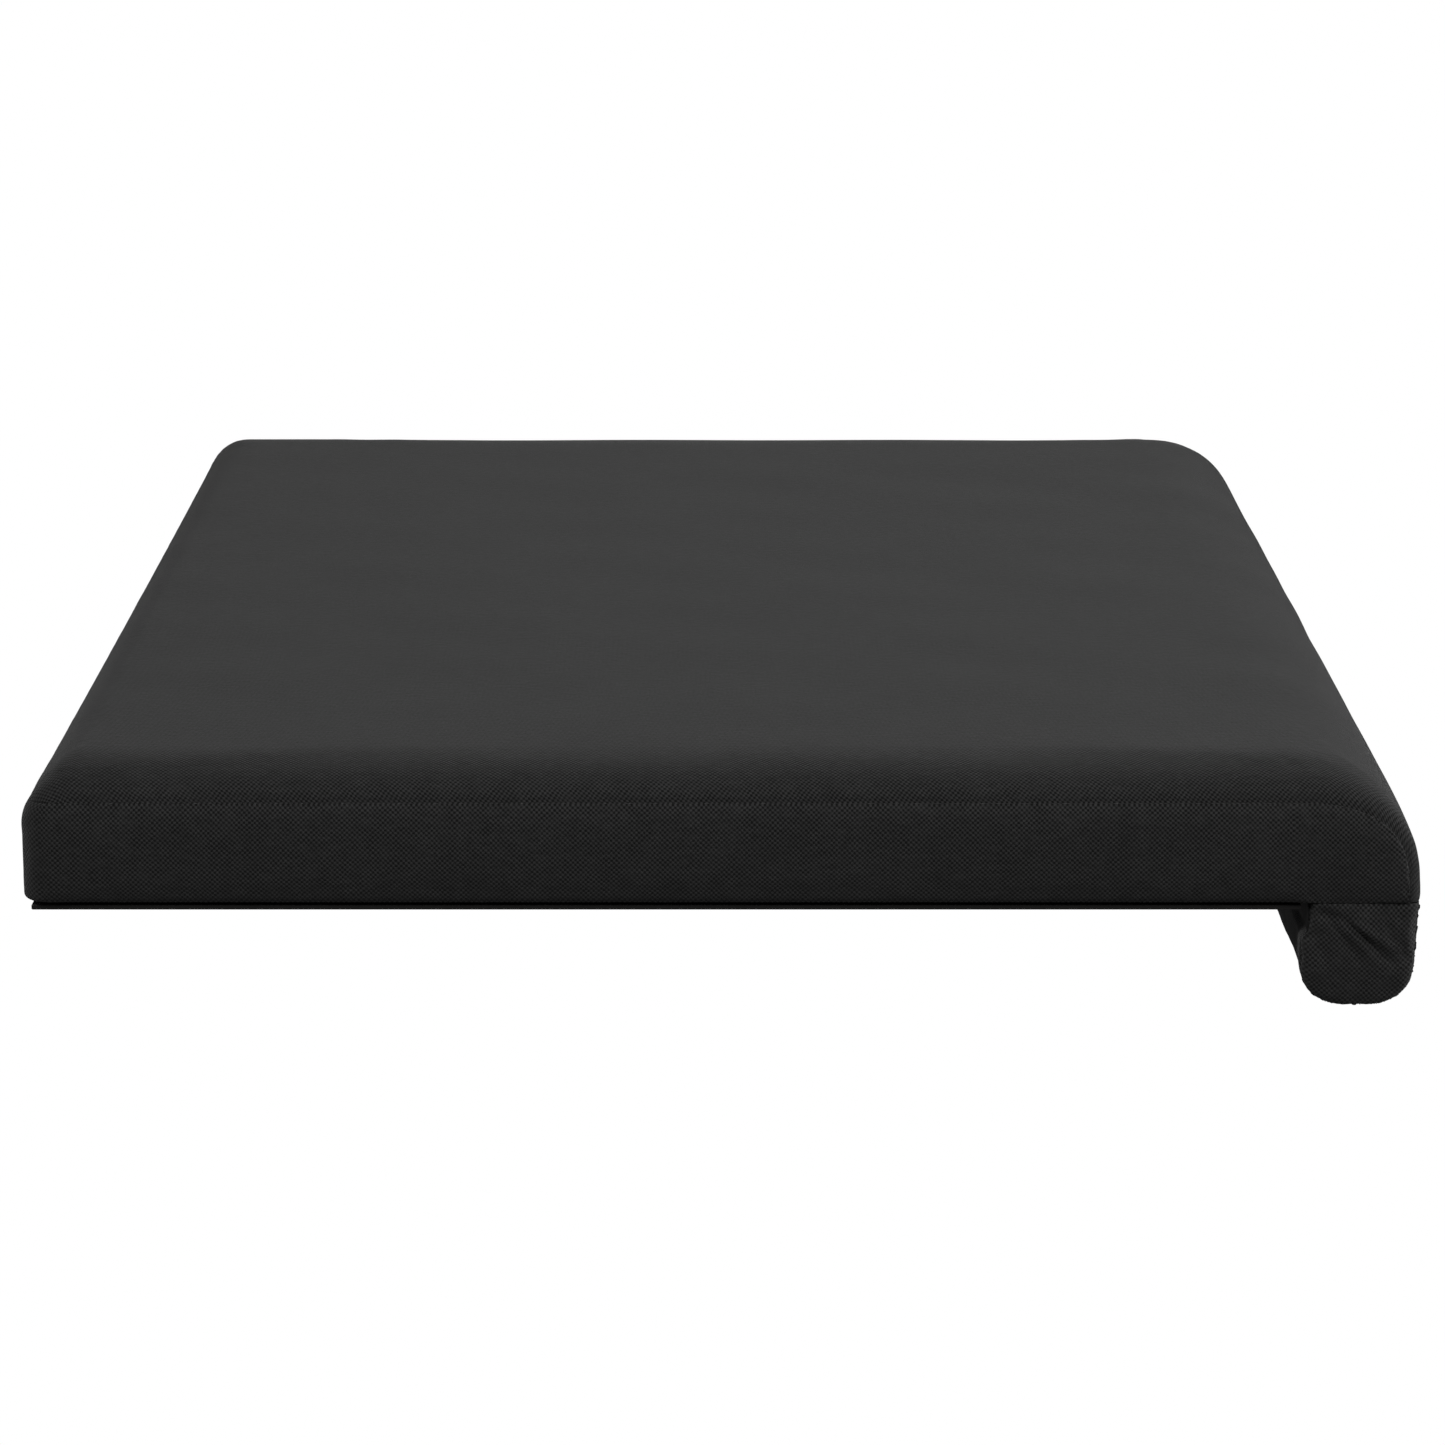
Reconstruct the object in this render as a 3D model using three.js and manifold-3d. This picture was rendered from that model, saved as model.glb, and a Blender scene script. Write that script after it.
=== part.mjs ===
// A futon mattress for a sofa bed: a foam pad on a thin base board, in a zipped woven cover,
// with a padded lip along its front that wraps down over the front rail of the frame.
//
// Millimetres. +Z is up, +Y runs along the length, +X points to the front, where the lip is.
// The origin is on the underside of the base board, midway along it and midway across the mattress.

import * as THREE from 'three';
import { mergeVertices } from 'three/addons/utils/BufferGeometryUtils.js';
import Module from 'manifold-3d';

const wasm = await Module();
wasm.setup();

// ---- Driving dimensions -------------------------------------------------------------------

const WIDTH = 1372; // back edge to front of the lip, a full-size mattress
const LENGTH = 1905; // along the lip
const TOP_Z = 143; // upper face above the underside of the board
const GAP = 0.3; // clearance between pieces that touch

const COVER = 2; // woven cover cloth
const FILL_GAP = 2; // between the cover and its filling, room for the seam allowances
const LINING = 1; // non-woven cloth under the pad

const SEAM_DROP = 34; // from the upper face down to the seam between top and end panels
const END_ROLL = 90; // depth over which the top rounds off towards each end
const END_FULLNESS = 2.4; // exponent of that rounding: 2 is an ellipse, more is squarer
const BACK_ROLL = 59; // the same along the back edge
const BACK_ROLL_HEIGHT = 68;
const WATERFALL_REACH = 140; // how far the front rolls over, along X
const WATERFALL_FULLNESS = 2.5;
const END_SEAM_REACH = 130; // the same for the seam on the end panels
const END_SEAM_FULLNESS = 2;
const SHOULDER_Z = 24; // where the front becomes upright
const BACK_CORNER = 20; // radius of the upright corners, seen from above
const FRONT_CORNER = 8;

const LIP_DROP = 98; // how far the lip hangs below the board
const LIP_THICKNESS = 117; // along X
const LIP_ROUND = 48; // height of its rounded bottom
const LIP_FULLNESS = 2.6;
const NECK_RELIEF = 7; // how far the lip's neck is cut back behind its inner face
const NECK_DEPTH = 22; // how far the neck reaches below the board
const NECK_FLARE = 10; // height over which the neck widens to the inner face

const BOARD = 5.5; // thickness of the base board
const BOARD_EDGE = 1; // chamfer round it
const BOARD_BACK_INSET = 9; // from the back of the pad
const BOARD_END_INSET = 8; // from each end of the pad
const BOARD_NECK_CLEARANCE = 7; // from the lip's neck

const STRIP = 1.3; // one half of a hook-and-loop fastening
const STRIP_WIDTH = 50;
const STRIP_END_INSET = 94.5; // from each end of the board
const STRIP_ROWS = 4;
const STRIP_MARGIN = 90; // from a board edge to the outer rows' middle

const CORE_HEIGHT = 60; // firm foam
const FIBRE = 12; // layer of fibre over the foam
const ROLL_WIDTH = 184; // front foam roll, along X
const ZIP_POCKET = 5.2; // from the back of the cover to the foam, room for the zip

const ZIP_END_INSET = 102.5; // from each end of the mattress to the zip
const ZIP_DROP = 16; // from the top of the upright part of the back to the middle of the zip
const ZIP_TAPE = 0.6;
const ZIP_TAPE_WIDTH = 12;
const TOOTH_DEPTH = 2.4; // through the tape
const TOOTH_HEIGHT = 2.4; // up the panel
const TOOTH_SPACE = 1.6; // between the two rows
const ZIP_WINDOW = 12.6; // height of the opening in the back panel
const STOP_LENGTH = 2.7;

const SLIDER_LENGTH = 12;
const SLIDER_HEIGHT = 10.4;
const SLIDER_PLATE = 1.1;
const SLIDER_WEB = 1;
const SLIDER_FLANGE = 0.9;
const SLIDER_PLAY = 0.3; // between the slider and the teeth or tape
const BAIL_LENGTH = 9.6;
const BAIL_WIDTH = 3;
const BAIL_THICKNESS = 1.2;
const BAIL_GAP = 2.1; // under the bail

const PULL_THICKNESS = 1;
const PULL_WIDTH = 7.4;
const PULL_LENGTH = 32; // from the hinge axis to the tip
const PULL_EYE = 6; // from the hinge axis to the solid part of the tab

// ---- Places that follow from them ---------------------------------------------------------

const frontX = WIDTH / 2;
const backX = -WIDTH / 2;
const endY = LENGTH / 2;
const padBottom = BOARD + 2 * STRIP + 3 * GAP;
const foamBottom = padBottom + LINING + GAP;
const seamZ = TOP_Z - SEAM_DROP;
const lipTop = padBottom - GAP;
const lipBottom = -LIP_DROP;
const lipInnerX = frontX - LIP_THICKNESS;
const neckX = lipInnerX + NECK_RELIEF;
const boardFrontX = neckX - BOARD_NECK_CLEARANCE;
const boardBackX = backX + BOARD_BACK_INSET;
const zipZ = TOP_Z - BACK_ROLL_HEIGHT - ZIP_DROP;
const zipEnd = endY - ZIP_END_INSET;
const toothX = backX + COVER; // middle of the teeth, level with the inside of the cover

// ---- Materials ----------------------------------------------------------------------------

const paint = (color, roughness, metalness = 0) =>
  new THREE.MeshStandardMaterial({ color, roughness, metalness });

const cloth = paint(0x333333, 0.95);
const liningCloth = paint(0x1c1c1c, 0.9);
const boardFinish = paint(0x1f1f1f, 0.55);
const firmFoam = paint(0xd9d2bb, 1);
const softFoam = paint(0xe9e4d3, 1);
const fibreFill = paint(0xf4f4f2, 1);
const hookTape = paint(0x161616, 0.8);
const zipTapeCloth = paint(0x1b1b1b, 0.9);
const toothNylon = paint(0x161616, 0.5);
const sliderMetal = paint(0x2a2a2c, 0.4, 0.8);

// ---- Small tools --------------------------------------------------------------------------

// A solid for cutting and joining, from a closed geometry.
function solid(geometry) {
  const bare = geometry.index ? geometry.toNonIndexed() : geometry.clone();
  bare.deleteAttribute('normal');
  bare.deleteAttribute('uv');
  const merged = mergeVertices(bare, 1e-4);
  return new wasm.Manifold(
    new wasm.Mesh({
      numProp: 3,
      vertProperties: new Float32Array(merged.attributes.position.array),
      triVerts: new Uint32Array(merged.index.array),
    }),
  );
}

function geometryOf(manifold) {
  const { vertProperties, triVerts } = manifold.getMesh();
  const geometry = new THREE.BufferGeometry();
  geometry.setAttribute('position', new THREE.BufferAttribute(vertProperties, 3));
  geometry.setIndex(new THREE.BufferAttribute(triVerts, 1));
  geometry.computeVertexNormals();
  return geometry;
}

// A box from its limits along each axis.
function block([x0, x1], [y0, y1], [z0, z1]) {
  const box = new THREE.BoxGeometry(x1 - x0, y1 - y0, z1 - z0);
  return box.translate((x0 + x1) / 2, (y0 + y1) / 2, (z0 + z1) / 2);
}

// An outline in X and Z, drawn out along Y.
function alongY(outline, y0, y1) {
  const shape = new THREE.Shape(outline.map(([x, z]) => new THREE.Vector2(x, z)));
  const bar = new THREE.ExtrudeGeometry(shape, { depth: y1 - y0, bevelEnabled: false });
  return bar.rotateX(Math.PI / 2).translate(0, y1, 0);
}

// An outline in Y and Z, drawn out along X.
function alongX(outline, x0, x1) {
  const shape = new THREE.Shape(outline.map(([y, z]) => new THREE.Vector2(y, z)));
  const bar = new THREE.ExtrudeGeometry(shape, { depth: x1 - x0, bevelEnabled: false });
  return bar.rotateX(Math.PI / 2).rotateZ(Math.PI / 2).translate(x0, 0, 0);
}

// Points on a quarter of a superellipse, from its side (angle 0) to its top (angle 90 degrees).
function quarter(centre, across, up, fullness, steps) {
  const points = [];
  for (let i = 0; i <= steps; i++) {
    const angle = (i / steps) * (Math.PI / 2);
    points.push([
      centre[0] + across * Math.cos(angle) ** (2 / fullness),
      centre[1] + up * Math.sin(angle) ** (2 / fullness),
    ]);
  }
  return points;
}

// ---- The pad's form -----------------------------------------------------------------------

const ROLL_STEPS = 6; // facets in each rounding
const WATERFALL_STEPS = 10;
const CORNER_STEPS = 3;
const END_STEPS = 9;
const mix = (a, b, t) => a + (b - a) * t;

// How far a face that is moved in by inset lies inside the outer one, at y, near a corner.
function cornerInset(y, radius, inset) {
  const turn = Math.min(1, Math.max(0, (y - (endY - radius)) / (radius - inset)));
  return inset + (radius - inset) * (1 - Math.sqrt(1 - turn * turn));
}

// How far the outer form has risen at y, from 0 at the end seam to 1 on the flat top.
function outerRise(y) {
  const out = (y - (endY - END_ROLL)) / END_ROLL;
  return (1 - out ** END_FULLNESS) ** (1 / END_FULLNESS);
}

// One cross-section of the pad, where the form that is moved in by inset has risen by rise.
function padSection(y, rise, inset, bottom) {
  const backInset = cornerInset(y, BACK_CORNER, inset);
  const frontInset = cornerInset(y, FRONT_CORNER, inset);
  const top = mix(seamZ, TOP_Z - inset, rise);
  const rollStart = mix(seamZ, TOP_Z - BACK_ROLL_HEIGHT, outerRise(y));
  const rollCentre = [backX + BACK_ROLL, rollStart];
  const back = quarter(rollCentre, -(BACK_ROLL - backInset), top - rollCentre[1], 2, ROLL_STEPS);
  const reach = mix(END_SEAM_REACH, WATERFALL_REACH, rise);
  const fullness = mix(END_SEAM_FULLNESS, WATERFALL_FULLNESS, rise);
  const fall = quarter(
    [frontX - reach, SHOULDER_Z],
    reach - frontInset,
    top - SHOULDER_Z,
    fullness,
    WATERFALL_STEPS,
  );
  return [[frontX - frontInset, bottom], ...fall, ...back.reverse(), [backX + backInset, bottom]];
}

// The pad as a closed form, every face moved in by inset.
function padForm(inset, bottom) {
  const stations = [];
  for (let i = 0; i <= END_STEPS; i++) {
    const angle = (i / END_STEPS) * (Math.PI / 2);
    const out = Math.cos(angle) ** (2 / END_FULLNESS);
    const rise = Math.sin(angle) ** (2 / END_FULLNESS);
    const y = endY - END_ROLL + (END_ROLL - inset) * out;
    stations.push({ y, ring: padSection(y, rise, inset, bottom) });
  }
  const nearHalf = stations.map(({ y, ring }) => ({ y: -y, ring })).reverse();
  return loft([...stations, ...nearHalf]);
}

// Skins rings of equal point counts, from the far end to the near end, and closes both ends.
// Each ring's first point sees all its others, so that each end is a fan.
function loft(stations) {
  const count = stations[0].ring.length;
  const points = stations.flatMap(({ y, ring }) => ring.map(([x, z]) => [x, y, z]));
  const faces = [];
  for (let s = 0; s + 1 < stations.length; s++) {
    for (let i = 0; i < count; i++) {
      const a = s * count + i;
      const b = s * count + ((i + 1) % count);
      faces.push([a, b, a + count], [b, b + count, a + count]);
    }
  }
  const last = (stations.length - 1) * count;
  for (let i = 1; i + 1 < count; i++) {
    faces.push([0, i + 1, i], [last, last + i, last + i + 1]);
  }
  const geometry = new THREE.BufferGeometry();
  geometry.setAttribute('position', new THREE.Float32BufferAttribute(points.flat(), 3));
  geometry.setIndex(faces.flat());
  return geometry;
}

// What lies below the seam on the ends and the back, as an outline in X and Z.
function belowSeam(inset) {
  const bottom = lipBottom;
  const left = 2 * backX;
  const curve = quarter(
    [frontX - END_SEAM_REACH, SHOULDER_Z],
    END_SEAM_REACH - COVER - inset,
    seamZ - inset - SHOULDER_Z,
    END_SEAM_FULLNESS,
    WATERFALL_STEPS,
  );
  return [[left, bottom], [frontX - COVER - inset, bottom], ...curve, [left, seamZ - inset]];
}

// The lip's outline in X and Z, every face moved in by inset, from its neck round to its front.
function lipOutline(inset) {
  const middle = frontX - LIP_THICKNESS / 2;
  const centre = [middle, lipBottom + LIP_ROUND];
  const across = LIP_THICKNESS / 2 - inset;
  const down = LIP_ROUND - inset;
  const inner = quarter(centre, -across, -down, LIP_FULLNESS, ROLL_STEPS);
  const outer = quarter(centre, across, -down, LIP_FULLNESS, ROLL_STEPS).reverse().slice(1);
  return [
    [neckX + inset, -NECK_DEPTH],
    [lipInnerX + inset, -NECK_DEPTH - NECK_FLARE],
    ...inner,
    ...outer,
  ];
}

// The lip as a closed form up to top, every face moved in by inset, with rounded ends.
function lipForm(inset, top) {
  const stations = [];
  for (let i = 0; i <= CORNER_STEPS; i++) {
    const angle = (i / CORNER_STEPS) * (Math.PI / 2);
    const y = endY - FRONT_CORNER + (FRONT_CORNER - inset) * Math.cos(angle);
    const depth = cornerInset(y, FRONT_CORNER, inset);
    const ring = [[frontX - depth, top], [neckX + depth, top], ...lipOutline(depth)];
    stations.push({ y, ring });
  }
  const nearHalf = stations.map(({ y, ring }) => ({ y: -y, ring })).reverse();
  return loft([...stations, ...nearHalf]);
}

// ---- Filling ------------------------------------------------------------------------------

const fillInset = COVER + FILL_GAP;
const fill = solid(padForm(fillInset, foamBottom)).intersect(
  solid(block([backX + ZIP_POCKET, frontX], [-endY, endY], [0, TOP_Z])),
);
const coreTop = foamBottom + CORE_HEIGHT;
const fibreBottom = TOP_Z - fillInset - FIBRE;
const rollX = frontX - ROLL_WIDTH;

// The filling between two heights and two places across.
function layer([x0, x1], [z0, z1]) {
  const window = block([x0, x1], [-LENGTH, LENGTH], [z0, z1]);
  return geometryOf(fill.intersect(solid(window)));
}

// ---- Cover --------------------------------------------------------------------------------

const coverShell = solid(padForm(0, padBottom)).subtract(solid(padForm(COVER, lipBottom)));
const wholeLength = [-LENGTH, LENGTH];
const panelHalfLength = endY - BACK_CORNER;
const windowHalfLength = zipEnd + STOP_LENGTH + 2 * GAP;
const windowTop = zipZ + ZIP_WINDOW / 2;
const windowBottom = zipZ - ZIP_WINDOW / 2;

function coverTopPanel() {
  const below = alongY(belowSeam(0), ...wholeLength);
  return geometryOf(coverShell.subtract(solid(below)));
}

// An end panel goes round the upright back corner, where it meets the two back panels.
function coverEnd(side) {
  const below = solid(alongY(belowSeam(GAP), ...wholeLength));
  const inner = side * (panelHalfLength + GAP);
  const span = [inner, side * LENGTH].sort((a, b) => a - b);
  const end = solid(block([-WIDTH, WIDTH], span, [0, seamZ]));
  return geometryOf(coverShell.intersect(below).intersect(end));
}

// The back has two panels, one each side of the zip. The upper one leans in to the seam.
function coverBackUpper() {
  const window = block(
    [backX, backX + BACK_ROLL],
    [-panelHalfLength, panelHalfLength],
    [windowTop, seamZ - GAP],
  );
  return geometryOf(coverShell.intersect(solid(window)));
}

// The lower one also closes the zip's ends.
function coverBackLower() {
  const top = windowTop - GAP;
  const outline = [
    [-panelHalfLength, padBottom],
    [panelHalfLength, padBottom],
    [panelHalfLength, top],
    [windowHalfLength, top],
    [windowHalfLength, windowBottom],
    [-windowHalfLength, windowBottom],
    [-windowHalfLength, top],
    [-panelHalfLength, top],
  ];
  return alongX(outline, backX, backX + COVER);
}

function coverBottom() {
  const window = block(
    [backX, neckX + LINING],
    wholeLength,
    [padBottom, padBottom + LINING],
  );
  return geometryOf(solid(padForm(fillInset, padBottom)).intersect(solid(window)));
}

// ---- Lip ----------------------------------------------------------------------------------

const lipHalfLength = endY - FRONT_CORNER;

function lipWrap() {
  const inside = lipOutline(COVER).reverse();
  const outline = [...lipOutline(0), [frontX, lipTop], [frontX - COVER, lipTop], ...inside];
  return alongY(outline, -lipHalfLength, lipHalfLength);
}

const lipShell = solid(lipForm(0, lipTop)).subtract(solid(lipForm(COVER, TOP_Z)));

function lipCap(side) {
  const span = [side * (lipHalfLength + GAP), side * LENGTH].sort((a, b) => a - b);
  const end = solid(block([0, WIDTH], span, [-WIDTH, TOP_Z]));
  return geometryOf(lipShell.intersect(end));
}

function lipInnerLining() {
  return block(
    [neckX, neckX + LINING],
    [-lipHalfLength, lipHalfLength],
    [-NECK_DEPTH + GAP, lipTop],
  );
}

// ---- Base board and its hook-and-loop strips ----------------------------------------------

const boardHalfLength = endY - BOARD_END_INSET;

function baseBoard() {
  const length = 2 * (boardHalfLength - BOARD_EDGE);
  const width = boardFrontX - boardBackX - 2 * BOARD_EDGE;
  const shape = new THREE.Shape();
  shape.moveTo(-width / 2, -length / 2);
  shape.lineTo(width / 2, -length / 2);
  shape.lineTo(width / 2, length / 2);
  shape.lineTo(-width / 2, length / 2);
  const board = new THREE.ExtrudeGeometry(shape, {
    depth: BOARD - 2 * BOARD_EDGE,
    bevelThickness: BOARD_EDGE,
    bevelSize: BOARD_EDGE,
    bevelSegments: 1,
  });
  return board.translate((boardBackX + boardFrontX) / 2, 0, BOARD_EDGE);
}

function strip(row, level) {
  const first = boardBackX + STRIP_MARGIN;
  const last = boardFrontX - STRIP_MARGIN;
  const x = mix(first, last, row / (STRIP_ROWS - 1));
  const z = BOARD + GAP + level * (STRIP + GAP);
  const halfLength = boardHalfLength - STRIP_END_INSET;
  return block(
    [x - STRIP_WIDTH / 2, x + STRIP_WIDTH / 2],
    [-halfLength, halfLength],
    [z, z + STRIP],
  );
}

// ---- Zip ----------------------------------------------------------------------------------

// One side of the zip: side is 1 above the middle and -1 below it.
function zipBand(side, near, far, [x0, x1], [y0, y1]) {
  const z0 = zipZ + side * near;
  const z1 = zipZ + side * far;
  return block([x0, x1], [y0, y1], [Math.min(z0, z1), Math.max(z0, z1)]);
}

const rowNear = TOOTH_SPACE / 2;
const rowFar = rowNear + TOOTH_HEIGHT;
const tapeX = backX + COVER + GAP;
const toothSpan = [toothX - TOOTH_DEPTH / 2, toothX + TOOTH_DEPTH / 2];

function zipTape(side) {
  const near = rowFar + GAP;
  return zipBand(side, near, near + ZIP_TAPE_WIDTH, [tapeX, tapeX + ZIP_TAPE], [-zipEnd, zipEnd]);
}

function zipTeeth(side) {
  return zipBand(side, rowNear, rowFar, toothSpan, [-zipEnd, zipEnd]);
}

function zipTopStop(side) {
  const y = [-zipEnd - GAP - STOP_LENGTH, -zipEnd - GAP];
  return zipBand(side, rowNear, rowFar, toothSpan, y);
}

function zipBottomStop() {
  const y = [zipEnd + GAP, zipEnd + GAP + STOP_LENGTH];
  return zipBand(1, -rowFar, rowFar, toothSpan, y);
}

// The slider: two plates with flanges round the teeth, joined by a web, and a bail for the pull.
const plateInside = toothX - TOOTH_DEPTH / 2 - SLIDER_PLAY; // inner face of the outer plate
const plateOutside = plateInside - SLIDER_PLATE;
const rearInside = toothX + TOOTH_DEPTH / 2 + SLIDER_PLAY;
const rearOutside = rearInside + SLIDER_PLATE;
const bailInside = plateOutside - BAIL_GAP;
const sliderY = -zipEnd + SLIDER_PLAY + SLIDER_LENGTH / 2;

function zipSlider() {
  const edge = SLIDER_HEIGHT / 2;
  const web = SLIDER_WEB / 2;
  const lipUp = edge - SLIDER_FLANGE;
  const outerFlange = tapeX - SLIDER_PLAY;
  const rearFlange = tapeX + ZIP_TAPE + SLIDER_PLAY;
  const half = [
    [plateOutside, edge],
    [outerFlange, edge],
    [outerFlange, lipUp],
    [plateInside, lipUp],
    [plateInside, web],
    [rearInside, web],
    [rearInside, lipUp],
    [rearFlange, lipUp],
    [rearFlange, edge],
    [rearOutside, edge],
  ];
  const mirrored = half.map(([x, z]) => [x, -z]).reverse();
  const outline = [...half, ...mirrored].map(([x, z]) => [x, z + zipZ]);
  const y0 = sliderY - SLIDER_LENGTH / 2;
  const body = solid(alongY(outline, y0, y0 + SLIDER_LENGTH));

  const bailHalf = BAIL_LENGTH / 2;
  const eye = bailHalf - BAIL_THICKNESS;
  const bail = [
    [-bailHalf, plateOutside + GAP],
    [-bailHalf, bailInside - BAIL_THICKNESS],
    [bailHalf, bailInside - BAIL_THICKNESS],
    [bailHalf, plateOutside + GAP],
    [eye, plateOutside + GAP],
    [eye, bailInside],
    [-eye, bailInside],
    [-eye, plateOutside + GAP],
  ];
  const shape = new THREE.Shape(bail.map(([y, x]) => new THREE.Vector2(x, y + sliderY)));
  const loop = new THREE.ExtrudeGeometry(shape, { depth: BAIL_WIDTH, bevelEnabled: false });
  loop.translate(0, 0, zipZ - BAIL_WIDTH / 2);
  return geometryOf(body.add(solid(loop)));
}

// The pull: a tab with a square eye round the bail. Its crossbar is its hinge.
function zipPull() {
  const axisX = plateOutside - BAIL_GAP / 2;
  const half = PULL_THICKNESS / 2;
  const side = PULL_WIDTH / 2;
  const tab = block(
    [axisX - half, axisX + half],
    [sliderY - PULL_LENGTH, sliderY + half],
    [zipZ - side, zipZ + side],
  );
  const eye = block(
    [axisX - 2, axisX + 2],
    [sliderY - PULL_EYE, sliderY - half],
    [zipZ - side + PULL_THICKNESS, zipZ + side - PULL_THICKNESS],
  );
  return geometryOf(solid(tab).subtract(solid(eye)));
}

// ---- Assembly -----------------------------------------------------------------------------

const mattress = new THREE.Group();

function add(name, geometry, material) {
  const mesh = new THREE.Mesh(geometry, material);
  mesh.name = name;
  mattress.add(mesh);
}

add('foam_core', layer([backX, rollX], [foamBottom, coreTop]), firmFoam);
add('foam_comfort_layer', layer([backX, rollX], [coreTop + GAP, fibreBottom - GAP]), softFoam);
add('foam_front_roll', layer([rollX + GAP, frontX], [foamBottom, fibreBottom - GAP]), softFoam);
add('foam_lip', lipForm(fillInset, lipTop), softFoam);
add('fibre_layer', layer([backX, frontX], [fibreBottom, TOP_Z]), fibreFill);

add('cover_top_panel', coverTopPanel(), cloth);
add('cover_near_end', coverEnd(-1), cloth);
add('cover_far_end', coverEnd(1), cloth);
add('cover_back_upper', coverBackUpper(), cloth);
add('cover_back_lower', coverBackLower(), cloth);
add('cover_bottom', coverBottom(), liningCloth);

add('lip_wrap', lipWrap(), cloth);
add('lip_near_cap', lipCap(-1), cloth);
add('lip_far_cap', lipCap(1), cloth);
add('lip_inner_lining', lipInnerLining(), liningCloth);

add('base_board', baseBoard(), boardFinish);
for (let row = 0; row < STRIP_ROWS; row++) {
  add(`hook_strip_${row + 1}`, strip(row, 0), hookTape);
  add(`loop_strip_${row + 1}`, strip(row, 1), hookTape);
}

add('zip_tape_upper', zipTape(1), zipTapeCloth);
add('zip_tape_lower', zipTape(-1), zipTapeCloth);
add('zip_teeth_upper', zipTeeth(1), toothNylon);
add('zip_teeth_lower', zipTeeth(-1), toothNylon);
add('zip_top_stop_upper', zipTopStop(1), sliderMetal);
add('zip_top_stop_lower', zipTopStop(-1), sliderMetal);
add('zip_bottom_stop', zipBottomStop(), sliderMetal);
add('zip_slider', zipSlider(), sliderMetal);
add('zip_pull', zipPull(), sliderMetal);

export default mattress;
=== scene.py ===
"""A futon mattress for a sofa bed: a padded top whose front hangs down as a lip over the frame's rail.

The cover is cut as separate panels: top, two ends, a zipped back, a lining underneath and a wrapped lip
with two gathered caps. Everything is in metres, +Z up, with the front edge and its lip on the +X side.
"""
import math

import bmesh
import bpy
import numpy as np
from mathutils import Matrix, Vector


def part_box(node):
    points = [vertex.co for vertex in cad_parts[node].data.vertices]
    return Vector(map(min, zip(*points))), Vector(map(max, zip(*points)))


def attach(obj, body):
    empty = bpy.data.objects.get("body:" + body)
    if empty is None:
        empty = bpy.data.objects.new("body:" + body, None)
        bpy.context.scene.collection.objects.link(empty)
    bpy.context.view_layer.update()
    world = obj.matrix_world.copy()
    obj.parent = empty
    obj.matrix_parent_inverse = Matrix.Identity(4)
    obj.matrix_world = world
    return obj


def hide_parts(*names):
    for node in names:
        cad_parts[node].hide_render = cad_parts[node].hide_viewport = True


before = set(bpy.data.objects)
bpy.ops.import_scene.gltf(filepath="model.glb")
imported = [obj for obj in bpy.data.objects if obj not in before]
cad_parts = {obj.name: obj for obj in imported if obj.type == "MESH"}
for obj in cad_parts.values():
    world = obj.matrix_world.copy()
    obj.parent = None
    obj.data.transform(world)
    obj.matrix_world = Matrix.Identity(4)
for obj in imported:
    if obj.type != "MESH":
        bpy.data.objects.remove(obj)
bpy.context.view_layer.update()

# ---------------------------------------------------------------- sizes read from the frame
end_low, end_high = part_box("cover_far_end")
upper_low, upper_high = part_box("cover_back_upper")
lip_low, lip_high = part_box("lip_wrap")
lining_low, lining_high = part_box("lip_inner_lining")
teeth_low, teeth_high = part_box("zip_teeth_upper")

FRONT_X = lip_high.x
BACK_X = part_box("cover_back_lower")[0].x
END_Y = end_high.y
PAD_Z = end_low.z
LIP_TOP = lip_high.z
LIP_BOTTOM = lip_low.z
LIP_INNER_X = lip_low.x
NECK_X = lining_low.x
NECK_Z = lining_low.z
LIP_SEAM_Z = (PAD_Z + LIP_TOP) / 2
BACK_PANEL_Y = upper_high.y
WINDOW_TOP = upper_low.z
ZIP_Z = (teeth_low.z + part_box("zip_teeth_lower")[1].z) / 2
WINDOW_BOTTOM = 2 * ZIP_Z - WINDOW_TOP
SLIDER_INNER_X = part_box("zip_slider")[1].x

# ---------------------------------------------------------------- the pad's shape
TOP_Z = 0.1439  # top of the cloth, over the crowned filling
SEAM_Z = 0.1095  # seam between the top and the ends and back
END_ROLL, END_FULLNESS = 0.0964, 2.36  # how far the top rolls down towards each end
BACK_ROLL_X, BACK_ROLL_Z, BACK_FULLNESS = 0.0585, 0.0736, 2.21
BACK_BOW = 0.0045  # the back's top edge draws in at mid length
BACK_CORNER = 0.0256  # radius of the upright corners
FRONT_CORNER = 0.013
WATERFALL_X, WATERFALL_END_X = 0.5455, 0.5613  # where the front roll starts, at mid length and at the ends
WATERFALL_Z, WATERFALL_FULLNESS = 0.020, 2.59  # where the front is upright, and how square its roll is
BOTTOM_ROUND = 0.0055  # the ends and back round in under the pad
LIP_ROUND, LIP_FULLNESS = 0.048, 2.6
LIP_TAPER = 0.050  # the lip's front leans in towards its bottom, as a share of its height
NECK_FLARE = 0.010  # height over which the neck widens to the inner face
LIP_INNER_SINK = 0.003  # the lip's hidden side is flatter than its front

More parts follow.
